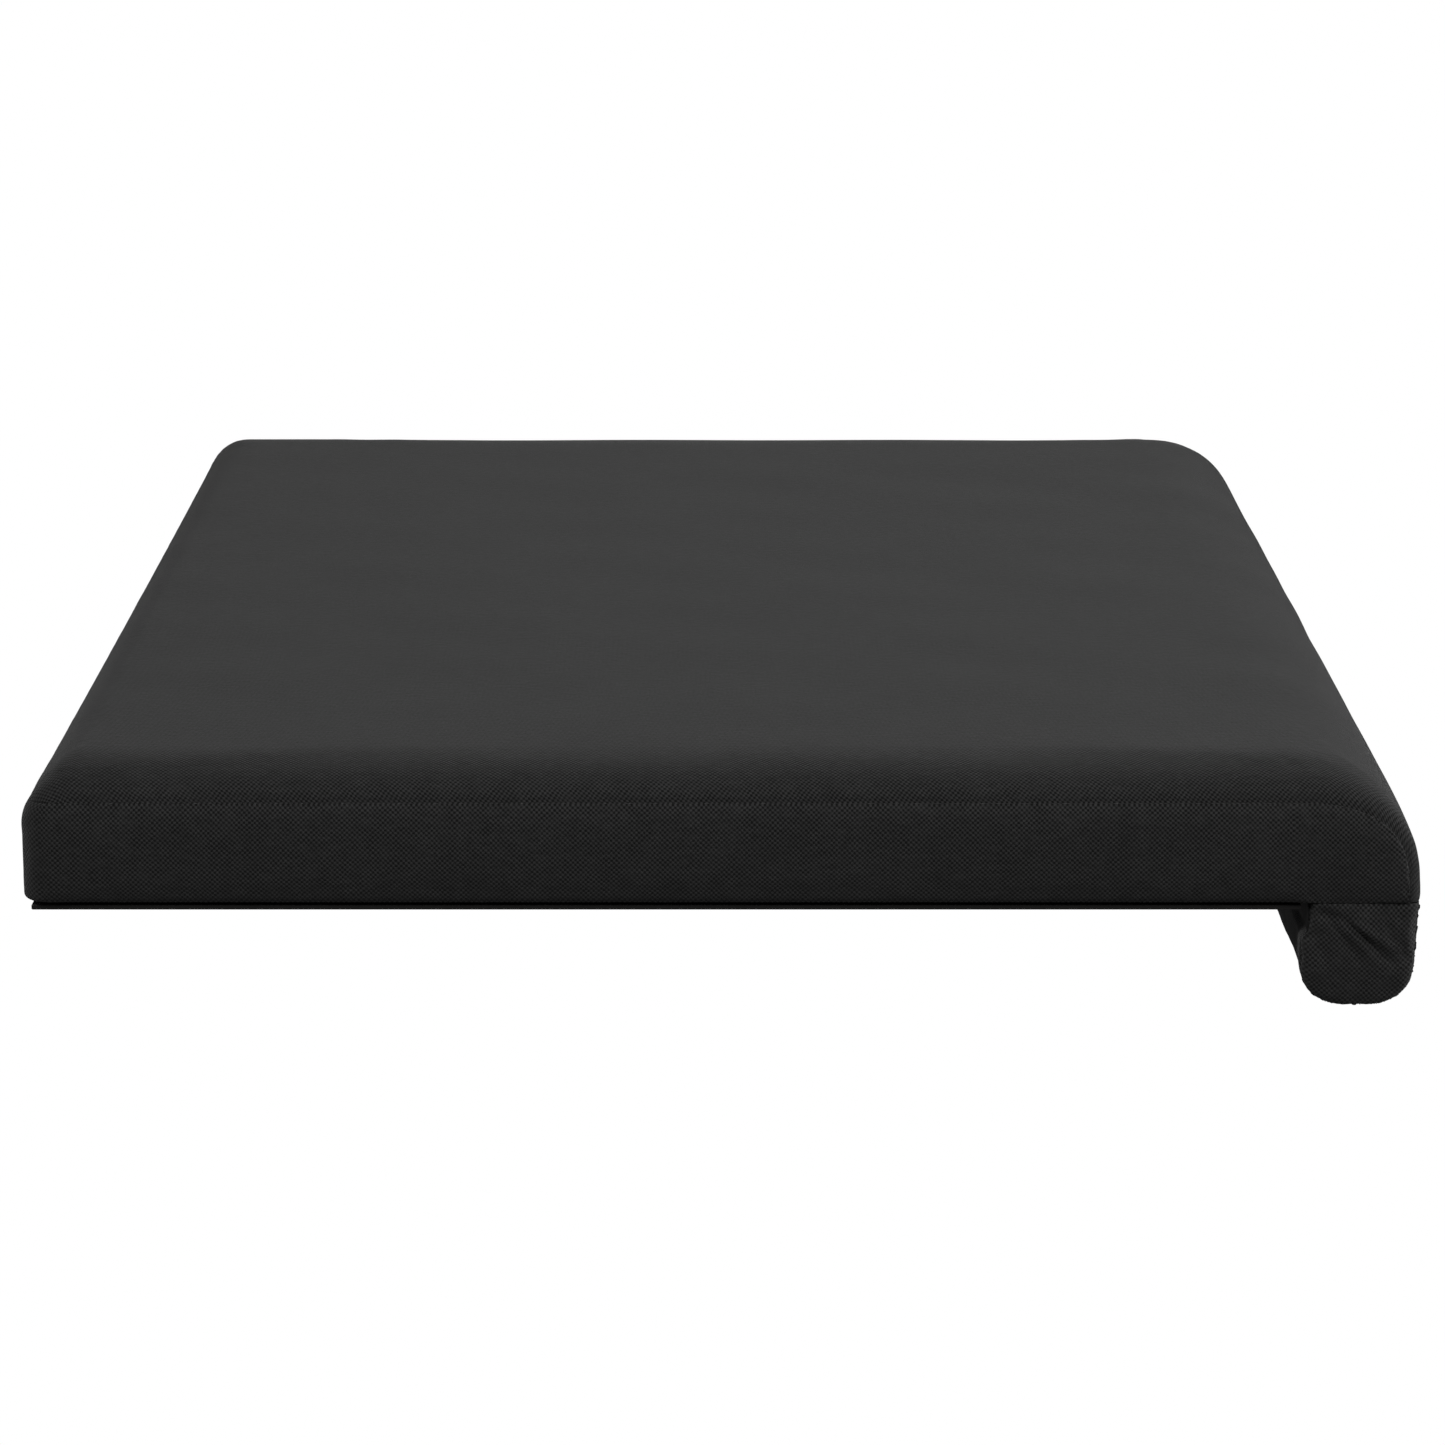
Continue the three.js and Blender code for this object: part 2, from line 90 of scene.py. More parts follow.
CLOTH = 0.0013  # thickness of the woven cover
LINING = 0.0008
ALLOWANCE = 0.0012  # thickness of the edges turned in behind a seam
END_CROWN = 0.0032  # the filling bulges an end panel by this
BACK_BULGE = 0.0012
CAP_CROWN = 0.0022
SEAM_SINK = 0.0016  # a seam pulls the cloth's edge in by this
SEAM_REACH = 0.0022  # and that fades out over this distance
END_SEAM_SINK, END_SEAM_REACH = 0.0003, 0.005
END_SEAM_PROUD, END_SEAM_FOLD = 0.0022, 0.001  # the end's folded edge stands proud, within this of the seam
HEM = 0.0012  # how far the back's cloth turns in beside the zip
ZIP_GUARD, ZIP_GUARD_GAP = 0.0006, 0.0006  # the cloth behind the zip, and its distance from the slider
ZIP_GUARD_REACH, ZIP_GUARD_WIDTH = 0.024, 0.008  # how far it goes past the teeth, and past the window

# how each panel settles: the coarse sheet's rows and columns, how much larger than its place it is cut,
# the pressure of the filling, and about the most that a point moves
TOP_SETTLE = dict(rows=90, columns=120, slack=0.004, pressure=1.2, most=0.0009)
END_SETTLE = dict(rows=26, columns=200, slack=0.006, pressure=3.0, most=0.0022)
WRAP_SETTLE = dict(rows=130, columns=60, slack=0.008, pressure=2.0, most=0.0010)
CAP_SETTLE = dict(rows=44, columns=44, slack=0.03, pressure=3.0, most=0.0022)
SETTLE_FRAMES = 16


# ---------------------------------------------------------------- small maths
def mix(a, b, t):
    return a + (b - a) * t


def ease(low, high, x):
    """0 below low, 1 above high, and smooth between them."""
    t = np.clip((x - low) / (high - low), 0, 1)
    return t * t * (3 - 2 * t)


def rounded(turn, fullness):
    """Across and up on a superellipse quarter, at a turn from 0 to a right angle."""
    power = 2 / fullness
    return np.abs(np.cos(turn)) ** power, np.abs(np.sin(turn)) ** power


def graded(length, step, first=0.0004, growth=1.6):
    """Distances from 0 to length, close together at the start and then a step apart."""
    marks, gap = [0.0], first
    while marks[-1] + gap < length - gap / 2:
        marks.append(marks[-1] + gap)
        gap = min(gap * growth, step)
    return np.array(marks + [length])


def graded_both(length, step, **start):
    """Distances from 0 to length, close together at both ends."""
    half = graded(length / 2, step, **start)
    return np.concatenate([half, length - half[-2::-1]])


def turns_at(distances, across, up, fullness):
    """Turns on a superellipse quarter at distances along it, measured from turn 0."""
    fine = np.linspace(0, math.pi / 2, 2000)
    x, z = rounded(fine, fullness)
    steps = np.hypot(np.diff(x * across), np.diff(z * up))
    run = np.concatenate([[0], np.cumsum(steps)])
    return np.interp(distances / distances[-1] * run[-1], run, fine)


def ripples(across, along, wavelength, seed, count=6):
    """Gentle irregular waves, about -1 to 1, over a surface measured in metres."""
    chance = np.random.default_rng(seed)
    total = 0
    for _ in range(count):
        heading, phase = chance.uniform(0, 2 * math.pi, 2)
        length = wavelength * chance.uniform(0.7, 1.6)
        travel = across * math.cos(heading) + along * math.sin(heading)
        total = total + np.sin(2 * math.pi * travel / length + phase)
    return total / (1.2 * math.sqrt(count))


def spread(*parts):
    """One grid of points from x, y and z arrays that stretch over each other."""
    return np.stack(np.broadcast_arrays(*parts), axis=-1).astype(float)


def runs(grid, axis):
    """Distance travelled over a grid along one axis."""
    steps = np.linalg.norm(np.diff(grid, axis=axis), axis=-1)
    pad = [(1, 0) if a == axis else (0, 0) for a in range(2)]
    return np.pad(np.cumsum(steps, axis=axis), pad)


def outward(grid, inside):
    """Unit normals of a grid that point away from inside, where None stands for any value."""
    normals = np.cross(np.gradient(grid, axis=1), np.gradient(grid, axis=0))
    normals /= np.maximum(np.linalg.norm(normals, axis=-1, keepdims=True), 1e-12)
    away = np.zeros_like(grid)
    for axis, value in enumerate(inside):
        if value is not None:
            away[..., axis] = grid[..., axis] - value
    sign = 1 if (normals * away).sum() > 0 else -1
    return normals * sign, sign


def push(grid, inside, amount):
    """The grid with each point moved out by an amount along its normal."""
    return grid + outward(grid, inside)[0] * amount[..., None]


# ---------------------------------------------------------------- mesh making
def mesh_object(name, vertices, faces, uv=None):
    """A smooth-shaded object, with a UV map in metres where uv is given for each vertex."""
    mesh = bpy.data.meshes.new(name)
    mesh.from_pydata(vertices.tolist(), [], faces.tolist())
    if uv is not None:
        layer = mesh.uv_layers.new(name="weave")
        corners = np.empty(len(mesh.loops), dtype=np.int32)
        mesh.loops.foreach_get("vertex_index", corners)
        layer.data.foreach_set("uv", uv[corners].astype(np.float32).ravel())
    mesh.polygons.foreach_set("use_smooth", np.ones(len(mesh.polygons), dtype=bool))
    mesh.set_sharp_from_angle(angle=math.radians(48))
    made = bpy.data.objects.new(name, mesh)
    bpy.context.collection.objects.link(made)
    return made


def panel(name, grid, inside, thickness, uv_start=(0, 0), flat_uv=None):
    """A closed sheet of cloth whose outer face is the grid; its weave runs by arc length or as given."""
    normals, sign = outward(grid, inside)
    rows, columns = grid.shape[:2]
    vertices = np.concatenate([grid.reshape(-1, 3), (grid - normals * thickness).reshape(-1, 3)])
    index = np.arange(rows * columns).reshape(rows, columns)
    under = index + rows * columns
    a, b, c, d = index[:-1, :-1], index[:-1, 1:], index[1:, 1:], index[1:, :-1]
    faces = [
        np.stack([a, b, c, d], axis=-1).reshape(-1, 4),
        np.stack([a, d, c, b], axis=-1).reshape(-1, 4) + rows * columns,
        np.stack([index[0, 1:], index[0, :-1], under[0, :-1], under[0, 1:]], axis=-1),
        np.stack([index[-1, :-1], index[-1, 1:], under[-1, 1:], under[-1, :-1]], axis=-1),
        np.stack([index[:-1, 0], index[1:, 0], under[1:, 0], under[:-1, 0]], axis=-1),
        np.stack([index[1:, -1], index[:-1, -1], under[:-1, -1], under[1:, -1]], axis=-1),
    ]
    faces = np.concatenate(faces)
    if sign < 0:
        faces = faces[:, ::-1]
    row, column = uv_start
    along, across = runs(grid, 0), runs(grid, 1)
    uv = np.stack([across - across[:, [column]], along - along[[row], :]], axis=-1).reshape(-1, 2)
    if flat_uv is not None:
        uv = np.stack(np.broadcast_arrays(*flat_uv), axis=-1).reshape(-1, 2)
    return mesh_object(name, vertices, faces, np.concatenate([uv, uv]))


def settle(grid, inside, rows, columns, slack, pressure, most):
    """The grid after its cloth, held at the seams and cut a little large, has settled over the filling.

    A coarse sheet of rows by columns is simulated, and its movement, kept under a limit, is laid back
    over the fine grid.
    """
    pick_rows = np.unique(np.round(np.linspace(0, grid.shape[0] - 1, rows)).astype(int))
    pick_columns = np.unique(np.round(np.linspace(0, grid.shape[1] - 1, columns)).astype(int))
    coarse = grid[np.ix_(pick_rows, pick_columns)]
    count = coarse.shape[:2]
    index = np.arange(count[0] * count[1]).reshape(count)
    faces = np.stack([index[:-1, :-1], index[:-1, 1:], index[1:, 1:], index[1:, :-1]], axis=-1)
    faces = faces.reshape(-1, 4)
    if outward(coarse, inside)[1] < 0:
        faces = faces[:, ::-1]
    sheet = mesh_object("settling", coarse.reshape(-1, 3), faces)
    held = sheet.vertex_groups.new(name="seams")
    edge = np.ones(count, dtype=bool)
    edge[1:-1, 1:-1] = False
    held.add(index[edge].tolist(), 1.0, "REPLACE")
    cloth = sheet.modifiers.new("cloth", "CLOTH")
    cloth.point_cache.frame_start, cloth.point_cache.frame_end = 1, SETTLE_FRAMES
    cloth.settings.quality = 6
    cloth.settings.mass = 0.25
    cloth.settings.tension_stiffness = cloth.settings.compression_stiffness = 30
    cloth.settings.bending_stiffness = 0.4
    cloth.settings.air_damping = 4
    cloth.settings.vertex_group_mass = "seams"
    cloth.settings.shrink_min = -slack
    cloth.settings.use_pressure = True
    cloth.settings.uniform_pressure_force = pressure
    cloth.settings.effector_weights.gravity = 0
    scene = bpy.context.scene
    for number in range(1, SETTLE_FRAMES + 1):
        scene.frame_set(number)
    settled = sheet.evaluated_get(bpy.context.evaluated_depsgraph_get())
    moved = np.empty(len(coarse.reshape(-1, 3)) * 3, dtype=np.float32)
    settled.data.vertices.foreach_get("co", moved)
    shift = moved.reshape(coarse.shape).astype(float) - coarse
    scene.frame_set(1)
    bpy.data.objects.remove(sheet)
    far = np.linalg.norm(shift, axis=-1, keepdims=True)
    shift *= most * np.tanh(far / most) / np.maximum(far, 1e-9)
    all_rows, all_columns = np.arange(grid.shape[0]), np.arange(grid.shape[1])
    wide = np.empty((count[0], grid.shape[1], 3))
    for row in range(count[0]):
        for axis in range(3):
            wide[row, :, axis] = np.interp(all_columns, pick_columns, shift[row, :, axis])
    full = np.empty(grid.shape)
    for column in range(grid.shape[1]):
        for axis in range(3):
            full[:, column, axis] = np.interp(all_rows, pick_rows, wide[:, column, axis])
    return grid + full


def finish_piece(piece, material, nodes, body="mattress"):
    """Give a piece its material, put it on the body it rides on, and hide the frame nodes it stands for."""
    piece.data.materials.clear()
    piece.data.materials.append(material)
    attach(piece, body)
    if nodes:
        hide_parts(*nodes)


# ---------------------------------------------------------------- materials
class Field:
    """A shader value; working on it adds Math nodes to its material."""

    def __init__(self, finish, socket):
        self.finish = finish
        self.socket = socket

    def maths(self, operation, *others):
        return self.finish.node("ShaderNodeMath", enumerate((self, *others)), operation=operation)

    def __add__(self, other):
        return self.maths("ADD", other)

    def __sub__(self, other):
        return self.maths("SUBTRACT", other)

    def __rsub__(self, other):
        return (self * -1) + other

    def __mul__(self, other):
        return self.maths("MULTIPLY", other)

    __radd__ = __add__
    __rmul__ = __mul__

    def sine(self):
        return self.maths("SINE")

    def absolute(self):
        return self.maths("ABSOLUTE")

    def ease(self, low, high):
        """0 below low, 1 above high, and smooth between them."""
        limits = {"Value": self, "From Min": low, "From Max": high}
        return self.finish.node("ShaderNodeMapRange", limits.items(), interpolation_type="SMOOTHSTEP")


class Finish:
    """A material in the making, with its constant values set on the shader's own sockets."""

    def __init__(self, name, **shader):
        self.material = bpy.data.materials.new(name)
        self.material.use_nodes = True
        self.tree = self.material.node_tree
        self.shader = self.tree.nodes["Principled BSDF"]
        for socket, value in shader.items():
            self.shader.inputs[socket.replace("_", " ")].default_value = value

    def node(self, kind, values=(), output=0, stops=None, **settings):
        """Any node: its settings and ramp stops first, then the values or links of its sockets."""
        made = self.tree.nodes.new(kind)
        for key, value in settings.items():
            setattr(made, key, value)
        if stops:
            ramp = made.color_ramp.elements
            while len(ramp) < len(stops):
                ramp.new(1)
            for point, (place, grey) in zip(ramp, stops):
                point.position = place
                point.color = (grey, grey, grey, 1)
        for key, value in values:
            if isinstance(value, Field):
                self.tree.links.new(value.socket, made.inputs[key])
            else:
                made.inputs[key].default_value = value
        return Field(self, made.outputs[output])

    def axes(self, vector):
        parts = self.node("ShaderNodeSeparateXYZ", [(0, vector)])
        return [Field(self, output) for output in parts.socket.node.outputs]

    def place(self):
        return self.node("ShaderNodeTexCoord", output="Object")

    def weave_uv(self):
        return self.node("ShaderNodeUVMap", uv_map="weave")

    def noise(self, vector, size, detail=2, roughness=0.5):
        """Noise from 0 to 1 whose lumps are about size across."""
        values = {"Vector": vector, "Scale": 1 / size, "Detail": detail, "Roughness": roughness}
        return self.node("ShaderNodeTexNoise", values.items())

    def between(self, dark, light, amount):
        """A colour between two, by an amount from 0 to 1."""
        values = [(0, amount), (6, (*dark, 1)), (7, (*light, 1))]
        return self.node("ShaderNodeMix", values, output=2, data_type="RGBA")

    def set(self, **links):
        for socket, value in links.items():
            self.tree.links.new(value.socket, self.shader.inputs[socket.replace("_", " ")])
        return self.material

    def bump(self, height, distance, strength=1.0):
        values = {"Height": height, "Distance": distance, "Strength": strength}
        return self.node("ShaderNodeBump", values.items())


def grey(value, warmth=0.0):
    """A grey, or one a little redder."""
    return (value * (1 + warmth), value, value * (1 - warmth))


WEAVE_CELL = 0.0025  # one float of the basket weave


def woven_cover():
    """Dark basket weave: raised dots in a checker, a little uneven, with nubs, streaks and faint blotches."""
    cloth = Finish("woven_cover", Roughness=0.85, Specular_IOR_Level=0.3, Sheen_Weight=0.16,
                   Sheen_Roughness=0.45, Sheen_Tint=(1, 1, 1, 1))
    uv = cloth.weave_uv()
    across, along = cloth.axes(uv)[:2]
    drift = (cloth.noise(uv, 0.012) - 0.5) * 0.0024
    slub = (cloth.noise(uv, 0.03) - 0.5) * 0.0024
    warp = ((across + drift) * (math.pi / WEAVE_CELL)).sine()
    weft = ((along + slub) * (math.pi / WEAVE_CELL)).sine()
    patch = cloth.noise(uv, 0.014, detail=2).ease(0.30, 0.72) * 0.75 + 0.55
    dots = (warp * weft * patch * 0.62 + 0.5).ease(0.0, 1.0)
    yarn = cloth.noise(uv, 0.0018, detail=3, roughness=0.7)
    stretched = cloth.node("ShaderNodeMapping", [("Vector", uv), ("Scale", (0.25, 1, 1))])
    streak = cloth.noise(stretched, 0.005, detail=3, roughness=0.6)
    blotch = cloth.noise(uv, 0.10, detail=5, roughness=0.65)
    crossed = cloth.node("ShaderNodeMapping", [("Vector", uv), ("Scale", (1, 0.18, 1))])
    rib = cloth.noise(crossed, 0.011, detail=3, roughness=0.65)
    nub = cloth.noise(uv, 0.008, detail=3, roughness=0.7)
    tone = (streak - 0.5) * 0.45 + (rib - 0.5) * 0.22 + (blotch - 0.5) * 0.30 + (nub - 0.5) * 0.35
    level = dots * 0.80 + (yarn - 0.5) * 0.45 + tone
    colour = cloth.between(grey(0.0030), grey(0.048), level)
    rough = 0.92 - dots * 0.12
    height = dots * 0.8 + yarn * 0.35 + nub * 1.4
    return cloth.set(Base_Color=colour, Roughness=rough, Normal=cloth.bump(height, 0.0006, 0.9))


def lining_cloth():
    """Thin spun-bonded lining with a fine pressed dimple."""
    lining = Finish("lining_cloth", Roughness=0.75, Specular_IOR_Level=0.3)
    place = lining.place()
    fibres = lining.noise(place, 0.002, detail=5, roughness=0.7)
    x, y, z = lining.axes(place)
    dimple = ((x + z) * 1500).sine() * (y * 1500).sine()
    colour = lining.between(grey(0.0045), grey(0.010), fibres)
    height = fibres * 0.5 + dimple * 0.25
    return lining.set(Base_Color=colour, Roughness=0.7 + fibres * 0.15,
                      Normal=lining.bump(height, 0.0003, 0.6))


def hardboard():
    """Dark tempered hardboard: smooth, with faint fibres."""
    board = Finish("hardboard", Specular_IOR_Level=0.4)
    place = board.place()
    fibre = board.noise(place, 0.004, detail=5, roughness=0.7)
    cloud = board.noise(place, 0.16, detail=3)
    colour = board.between(grey(0.009, 0.05), grey(0.021, 0.05), fibre * 0.6 + cloud * 0.4)
    return board.set(Base_Color=colour, Roughness=0.38 + fibre * 0.2,
                     Normal=board.bump(fibre, 0.0002, 0.5))


def cut_foam(name, dark, light, cell):
    """Open-cell foam: small pores over a lightly uneven cut face."""
    foam = Finish(name, Roughness=0.95, Subsurface_Weight=0.1, Subsurface_Scale=0.004)
    place = foam.place()
    pores = foam.node("ShaderNodeTexVoronoi", [("Vector", place), ("Scale", 1 / cell)])
    tone = foam.noise(place, 0.03, detail=3)
    colour = foam.between(dark, light, pores * 0.7 + tone * 0.3)
    return foam.set(Base_Color=colour, Normal=foam.bump(pores, cell / 3, 0.7))


def fibre_fill():
    """Bonded polyester batting: fine tangled fibres with a sheen."""
    batt = Finish("fibre_fill", Roughness=0.9, Sheen_Weight=0.4, Sheen_Roughness=0.5)
    place = batt.place()
    tangle = batt.noise(place, 0.003, detail=6, roughness=0.75)
    tuft = batt.noise(place, 0.025, detail=2)
    colour = batt.between(grey(0.55), grey(0.86), tangle * 0.6 + tuft * 0.4)
    return batt.set(Base_Color=colour, Normal=batt.bump(tangle + tuft, 0.0012, 0.6))


def hook_tape():
    """Stiff moulded hooks in close rows."""
    tape = Finish("hook_tape", Roughness=0.45)
    x, y = tape.axes(tape.place())[:2]
    hooks = ((x * 2600).sine() * (y * 2200).sine()).ease(0.1, 0.8)
    colour = tape.between(grey(0.006), grey(0.03), hooks)
    return tape.set(Base_Color=colour, Normal=tape.bump(hooks, 0.0009))


def loop_tape():
    """A brushed bed of fine loops."""
    tape = Finish("loop_tape", Roughness=0.95, Sheen_Weight=0.3)
    nap = tape.noise(tape.place(), 0.0012, detail=5, roughness=0.8)
    colour = tape.between(grey(0.008), grey(0.035), nap)
    return tape.set(Base_Color=colour, Normal=tape.bump(nap, 0.0008))


def zip_tape_cloth():
    """Narrow woven tape with a herringbone across it."""
    tape = Finish("zip_tape_cloth", Roughness=0.8)
    place = tape.place()
    y, z = tape.axes(place)[1:]
    chevron = ((y + (z - ZIP_Z).absolute() * 0.8) * 5200).sine().ease(-0.8, 0.8)
    fuzz = tape.noise(place, 0.0008, detail=3)
    colour = tape.between(grey(0.006), grey(0.022), chevron * 0.6 + fuzz * 0.4)
    return tape.set(Base_Color=colour, Normal=tape.bump(chevron + fuzz, 0.0002))


def coil_nylon():
    """Semi-gloss moulded nylon."""
    nylon = Finish("coil_nylon", Roughness=0.32, Coat_Weight=0.15)
    wear = nylon.noise(nylon.place(), 0.006, detail=3)
    colour = nylon.between(grey(0.007), grey(0.016), wear)
    return nylon.set(Base_Color=colour, Roughness=0.28 + wear * 0.2,
                     Normal=nylon.bump(wear, 0.0001, 0.4))


def zip_metal():
    """Blackened zip metal, rubbed brighter in patches."""
    metal = Finish("zip_metal", Metallic=1.0)
    place = metal.place()
    rub = metal.noise(place, 0.004, detail=4, roughness=0.65).ease(0.45, 0.72)
    grain = metal.noise(place, 0.0006, detail=2)
    colour = metal.between(grey(0.05), grey(0.22, 0.03), rub)
    return metal.set(Base_Color=colour, Roughness=0.28 + grain * 0.25,
                     Normal=metal.bump(grain, 0.00005, 0.5))


def stitch_thread():
    """Twisted polyester thread."""
    thread = Finish("stitch_thread", Roughness=0.55, Sheen_Weight=0.2)
    y, z = thread.axes(thread.place())[1:]
    twist = ((y + z * 0.7) * 9000).sine().ease(-0.7, 0.7)
    colour = thread.between(grey(0.01), grey(0.05), twist)
    return thread.set(Base_Color=colour, Normal=thread.bump(twist, 0.0001))


COVER = woven_cover()
LINING_CLOTH = lining_cloth()
THREAD = stitch_thread()
NYLON = coil_nylon()
METAL = zip_metal()


# ---------------------------------------------------------------- the pad's surface
def corner_inset(y, radius):
    """How far a rounded upright corner of the plan draws the pad in, at y."""
    past = np.clip(np.abs(y) - (END_Y - radius), 0, radius)
    return radius - np.sqrt(radius**2 - past**2)


def end_rise(y):
    """1 over the pad's length, down to 0 at the end seams."""
    past = np.clip((np.abs(y) - (END_Y - END_ROLL)) / END_ROLL, 0, 1)
    return (1 - past**END_FULLNESS) ** (1 / END_FULLNESS)


def top_level(y):
    return mix(SEAM_Z, TOP_Z, end_rise(y))


def back_level(y):
    """Height at which the back's upright face starts to roll over."""
    return mix(SEAM_Z, TOP_Z - BACK_ROLL_Z, end_rise(y))


def back_edge(y):
    return corner_inset(y, BACK_CORNER)


BACK_SEAM_UP = (SEAM_Z - (TOP_Z - BACK_ROLL_Z)) / BACK_ROLL_Z
BACK_SEAM_TURN = math.asin(BACK_SEAM_UP ** (BACK_FULLNESS / 2))


def back_roll(y, turn):
    """x and z on the back's roll; the roll bows in towards mid length as it climbs."""
    across, up = rounded(turn, BACK_FULLNESS)
    bow = BACK_BOW * (1 - (y / END_Y) ** 2)
    x = BACK_X + BACK_ROLL_X - (BACK_ROLL_X - back_edge(y)) * across + bow * up * across
    return x, mix(back_level(y), top_level(y), up)


def waterfall(y, turn):
    """x and z on the front roll."""
    across, up = rounded(turn, WATERFALL_FULLNESS)
    start = mix(WATERFALL_END_X, WATERFALL_X, end_rise(y))
    x = start + (FRONT_X - start - corner_inset(y, FRONT_CORNER)) * across
    return x, WATERFALL_Z + (top_level(y) - WATERFALL_Z) * up


def lip_seam_level(x):
    """Height of the seam over the lip's caps, which wanders a little where it is gathered."""
    return LIP_SEAM_Z + 0.0009 * ripples(x, 0, 0.045, seed=91) * ease(NECK_X, NECK_X + 0.02, x)


def seam_sink(distance, reach=SEAM_REACH, sink=SEAM_SINK):
    """How far a seam pulls the cloth in at a distance from it."""
    return -sink * np.exp(-distance / reach)


def beside_seam(distance, reach, start):
    """0 on a seam, near 1 a start away from it, and fading out over a reach."""
    return np.exp(-distance / reach) * (1 - np.exp(-distance / start))


def end_rows():
    """y of the top panel's rows, from the near seam to the far one."""
    marks = graded(0.105, 0.005)
    turns = turns_at(marks, END_ROLL, TOP_Z - SEAM_Z, END_FULLNESS)
    across, _ = rounded(turns, END_FULLNESS)
    roll = END_Y - END_ROLL + END_ROLL * across
    middle = np.linspace(roll[-1], -roll[-1], 84)[1:-1]
    return np.concatenate([-roll, -middle, roll[::-1]])


FAN_HEIGHT, FAN_SPACING = 0.0003, 0.0105  # creases round the front curve
WATERFALL_TURNS = turns_at(np.linspace(0, 0.2, 62), FRONT_X - WATERFALL_X, TOP_Z - WATERFALL_Z,
                           WATERFALL_FULLNESS)


def top_panel():
    """One cloth from the back seam over the top and down the front to the lip's seam."""
    y = end_rows()[:, None]
    lip_marks = LIP_SEAM_Z + graded(WATERFALL_Z - LIP_SEAM_Z, 0.004)[:-1]
    back_turns = mix(BACK_SEAM_TURN, math.pi / 2, graded(1, 0.075, first=0.012))[None, :-1]
    back_x, back_z = back_roll(y, back_turns)
    front_x, front_z = waterfall(y, WATERFALL_TURNS[None, ::-1])
    flat_share = np.linspace(0, 1, 196)[None, :-1]
    flat_start, flat_z = back_roll(y, np.array([[math.pi / 2]]))
    flat_x = mix(flat_start, front_x[:, :1], flat_share)
    face_x = (FRONT_X - corner_inset(y, FRONT_CORNER)) + 0 * lip_marks
    x = np.concatenate([back_x, flat_x, front_x, face_x], axis=1)
    z = np.concatenate([back_z, flat_z + 0 * flat_x, front_z, lip_marks[::-1] + 0 * y], axis=1)
    grid = spread(x, y, z)
    inside = (0, None, 0)

    across, along = runs(grid, 1), runs(grid, 0)
    near, far = along, along[-1:] - along
    to_end = np.minimum(near, far)
    to_back, to_lip = across, across[:, -1:] - across
    seam_run = across[:1]
    sink = seam_sink(np.minimum(to_back, to_lip)) + seam_sink(to_end, END_SEAM_REACH, END_SEAM_SINK)
    swell = 0.0005 * ripples(x, y, 0.22, seed=11) * ease(0, 0.08, to_end)
    pucker = 0.0003 * ripples(seam_run, 0.3 * to_end, 0.016, seed=5, count=4)
    amount = np.maximum(sink, -SEAM_SINK) + swell + pucker * beside_seam(to_end, 0.012, 0.003)
    # the seam is gathered where the front starts to curve down, so creases fan out from it
    gather = ease(0.50, 0.58, x) * ease(0.070, 0.100, z)
    drift = 3.4 * ripples(seam_run, 0 * y, 0.045, seed=8) + 1.5 * ripples(x, y, 0.03, seed=9)
    fan = np.sin(2 * math.pi * (seam_run - 0.8 * to_end) / FAN_SPACING + drift)
    uneven = 0.55 + 0.45 * ripples(seam_run, 0.4 * to_end, 0.035, seed=12)
    fold = gather * np.exp(-((to_end - 0.008) / 0.020) ** 2) * (1 - np.exp(-to_end / 0.002))
    grid = push(grid, inside, amount + FAN_HEIGHT * fold * uneven * fan)
    grid = settle(grid, inside, **TOP_SETTLE)
    middle = (len(y) // 2, x.shape[1] // 2)
    made = panel("top_panel", grid, inside, CLOTH, middle)
    finish_piece(made, COVER, ["cover_top_panel"])


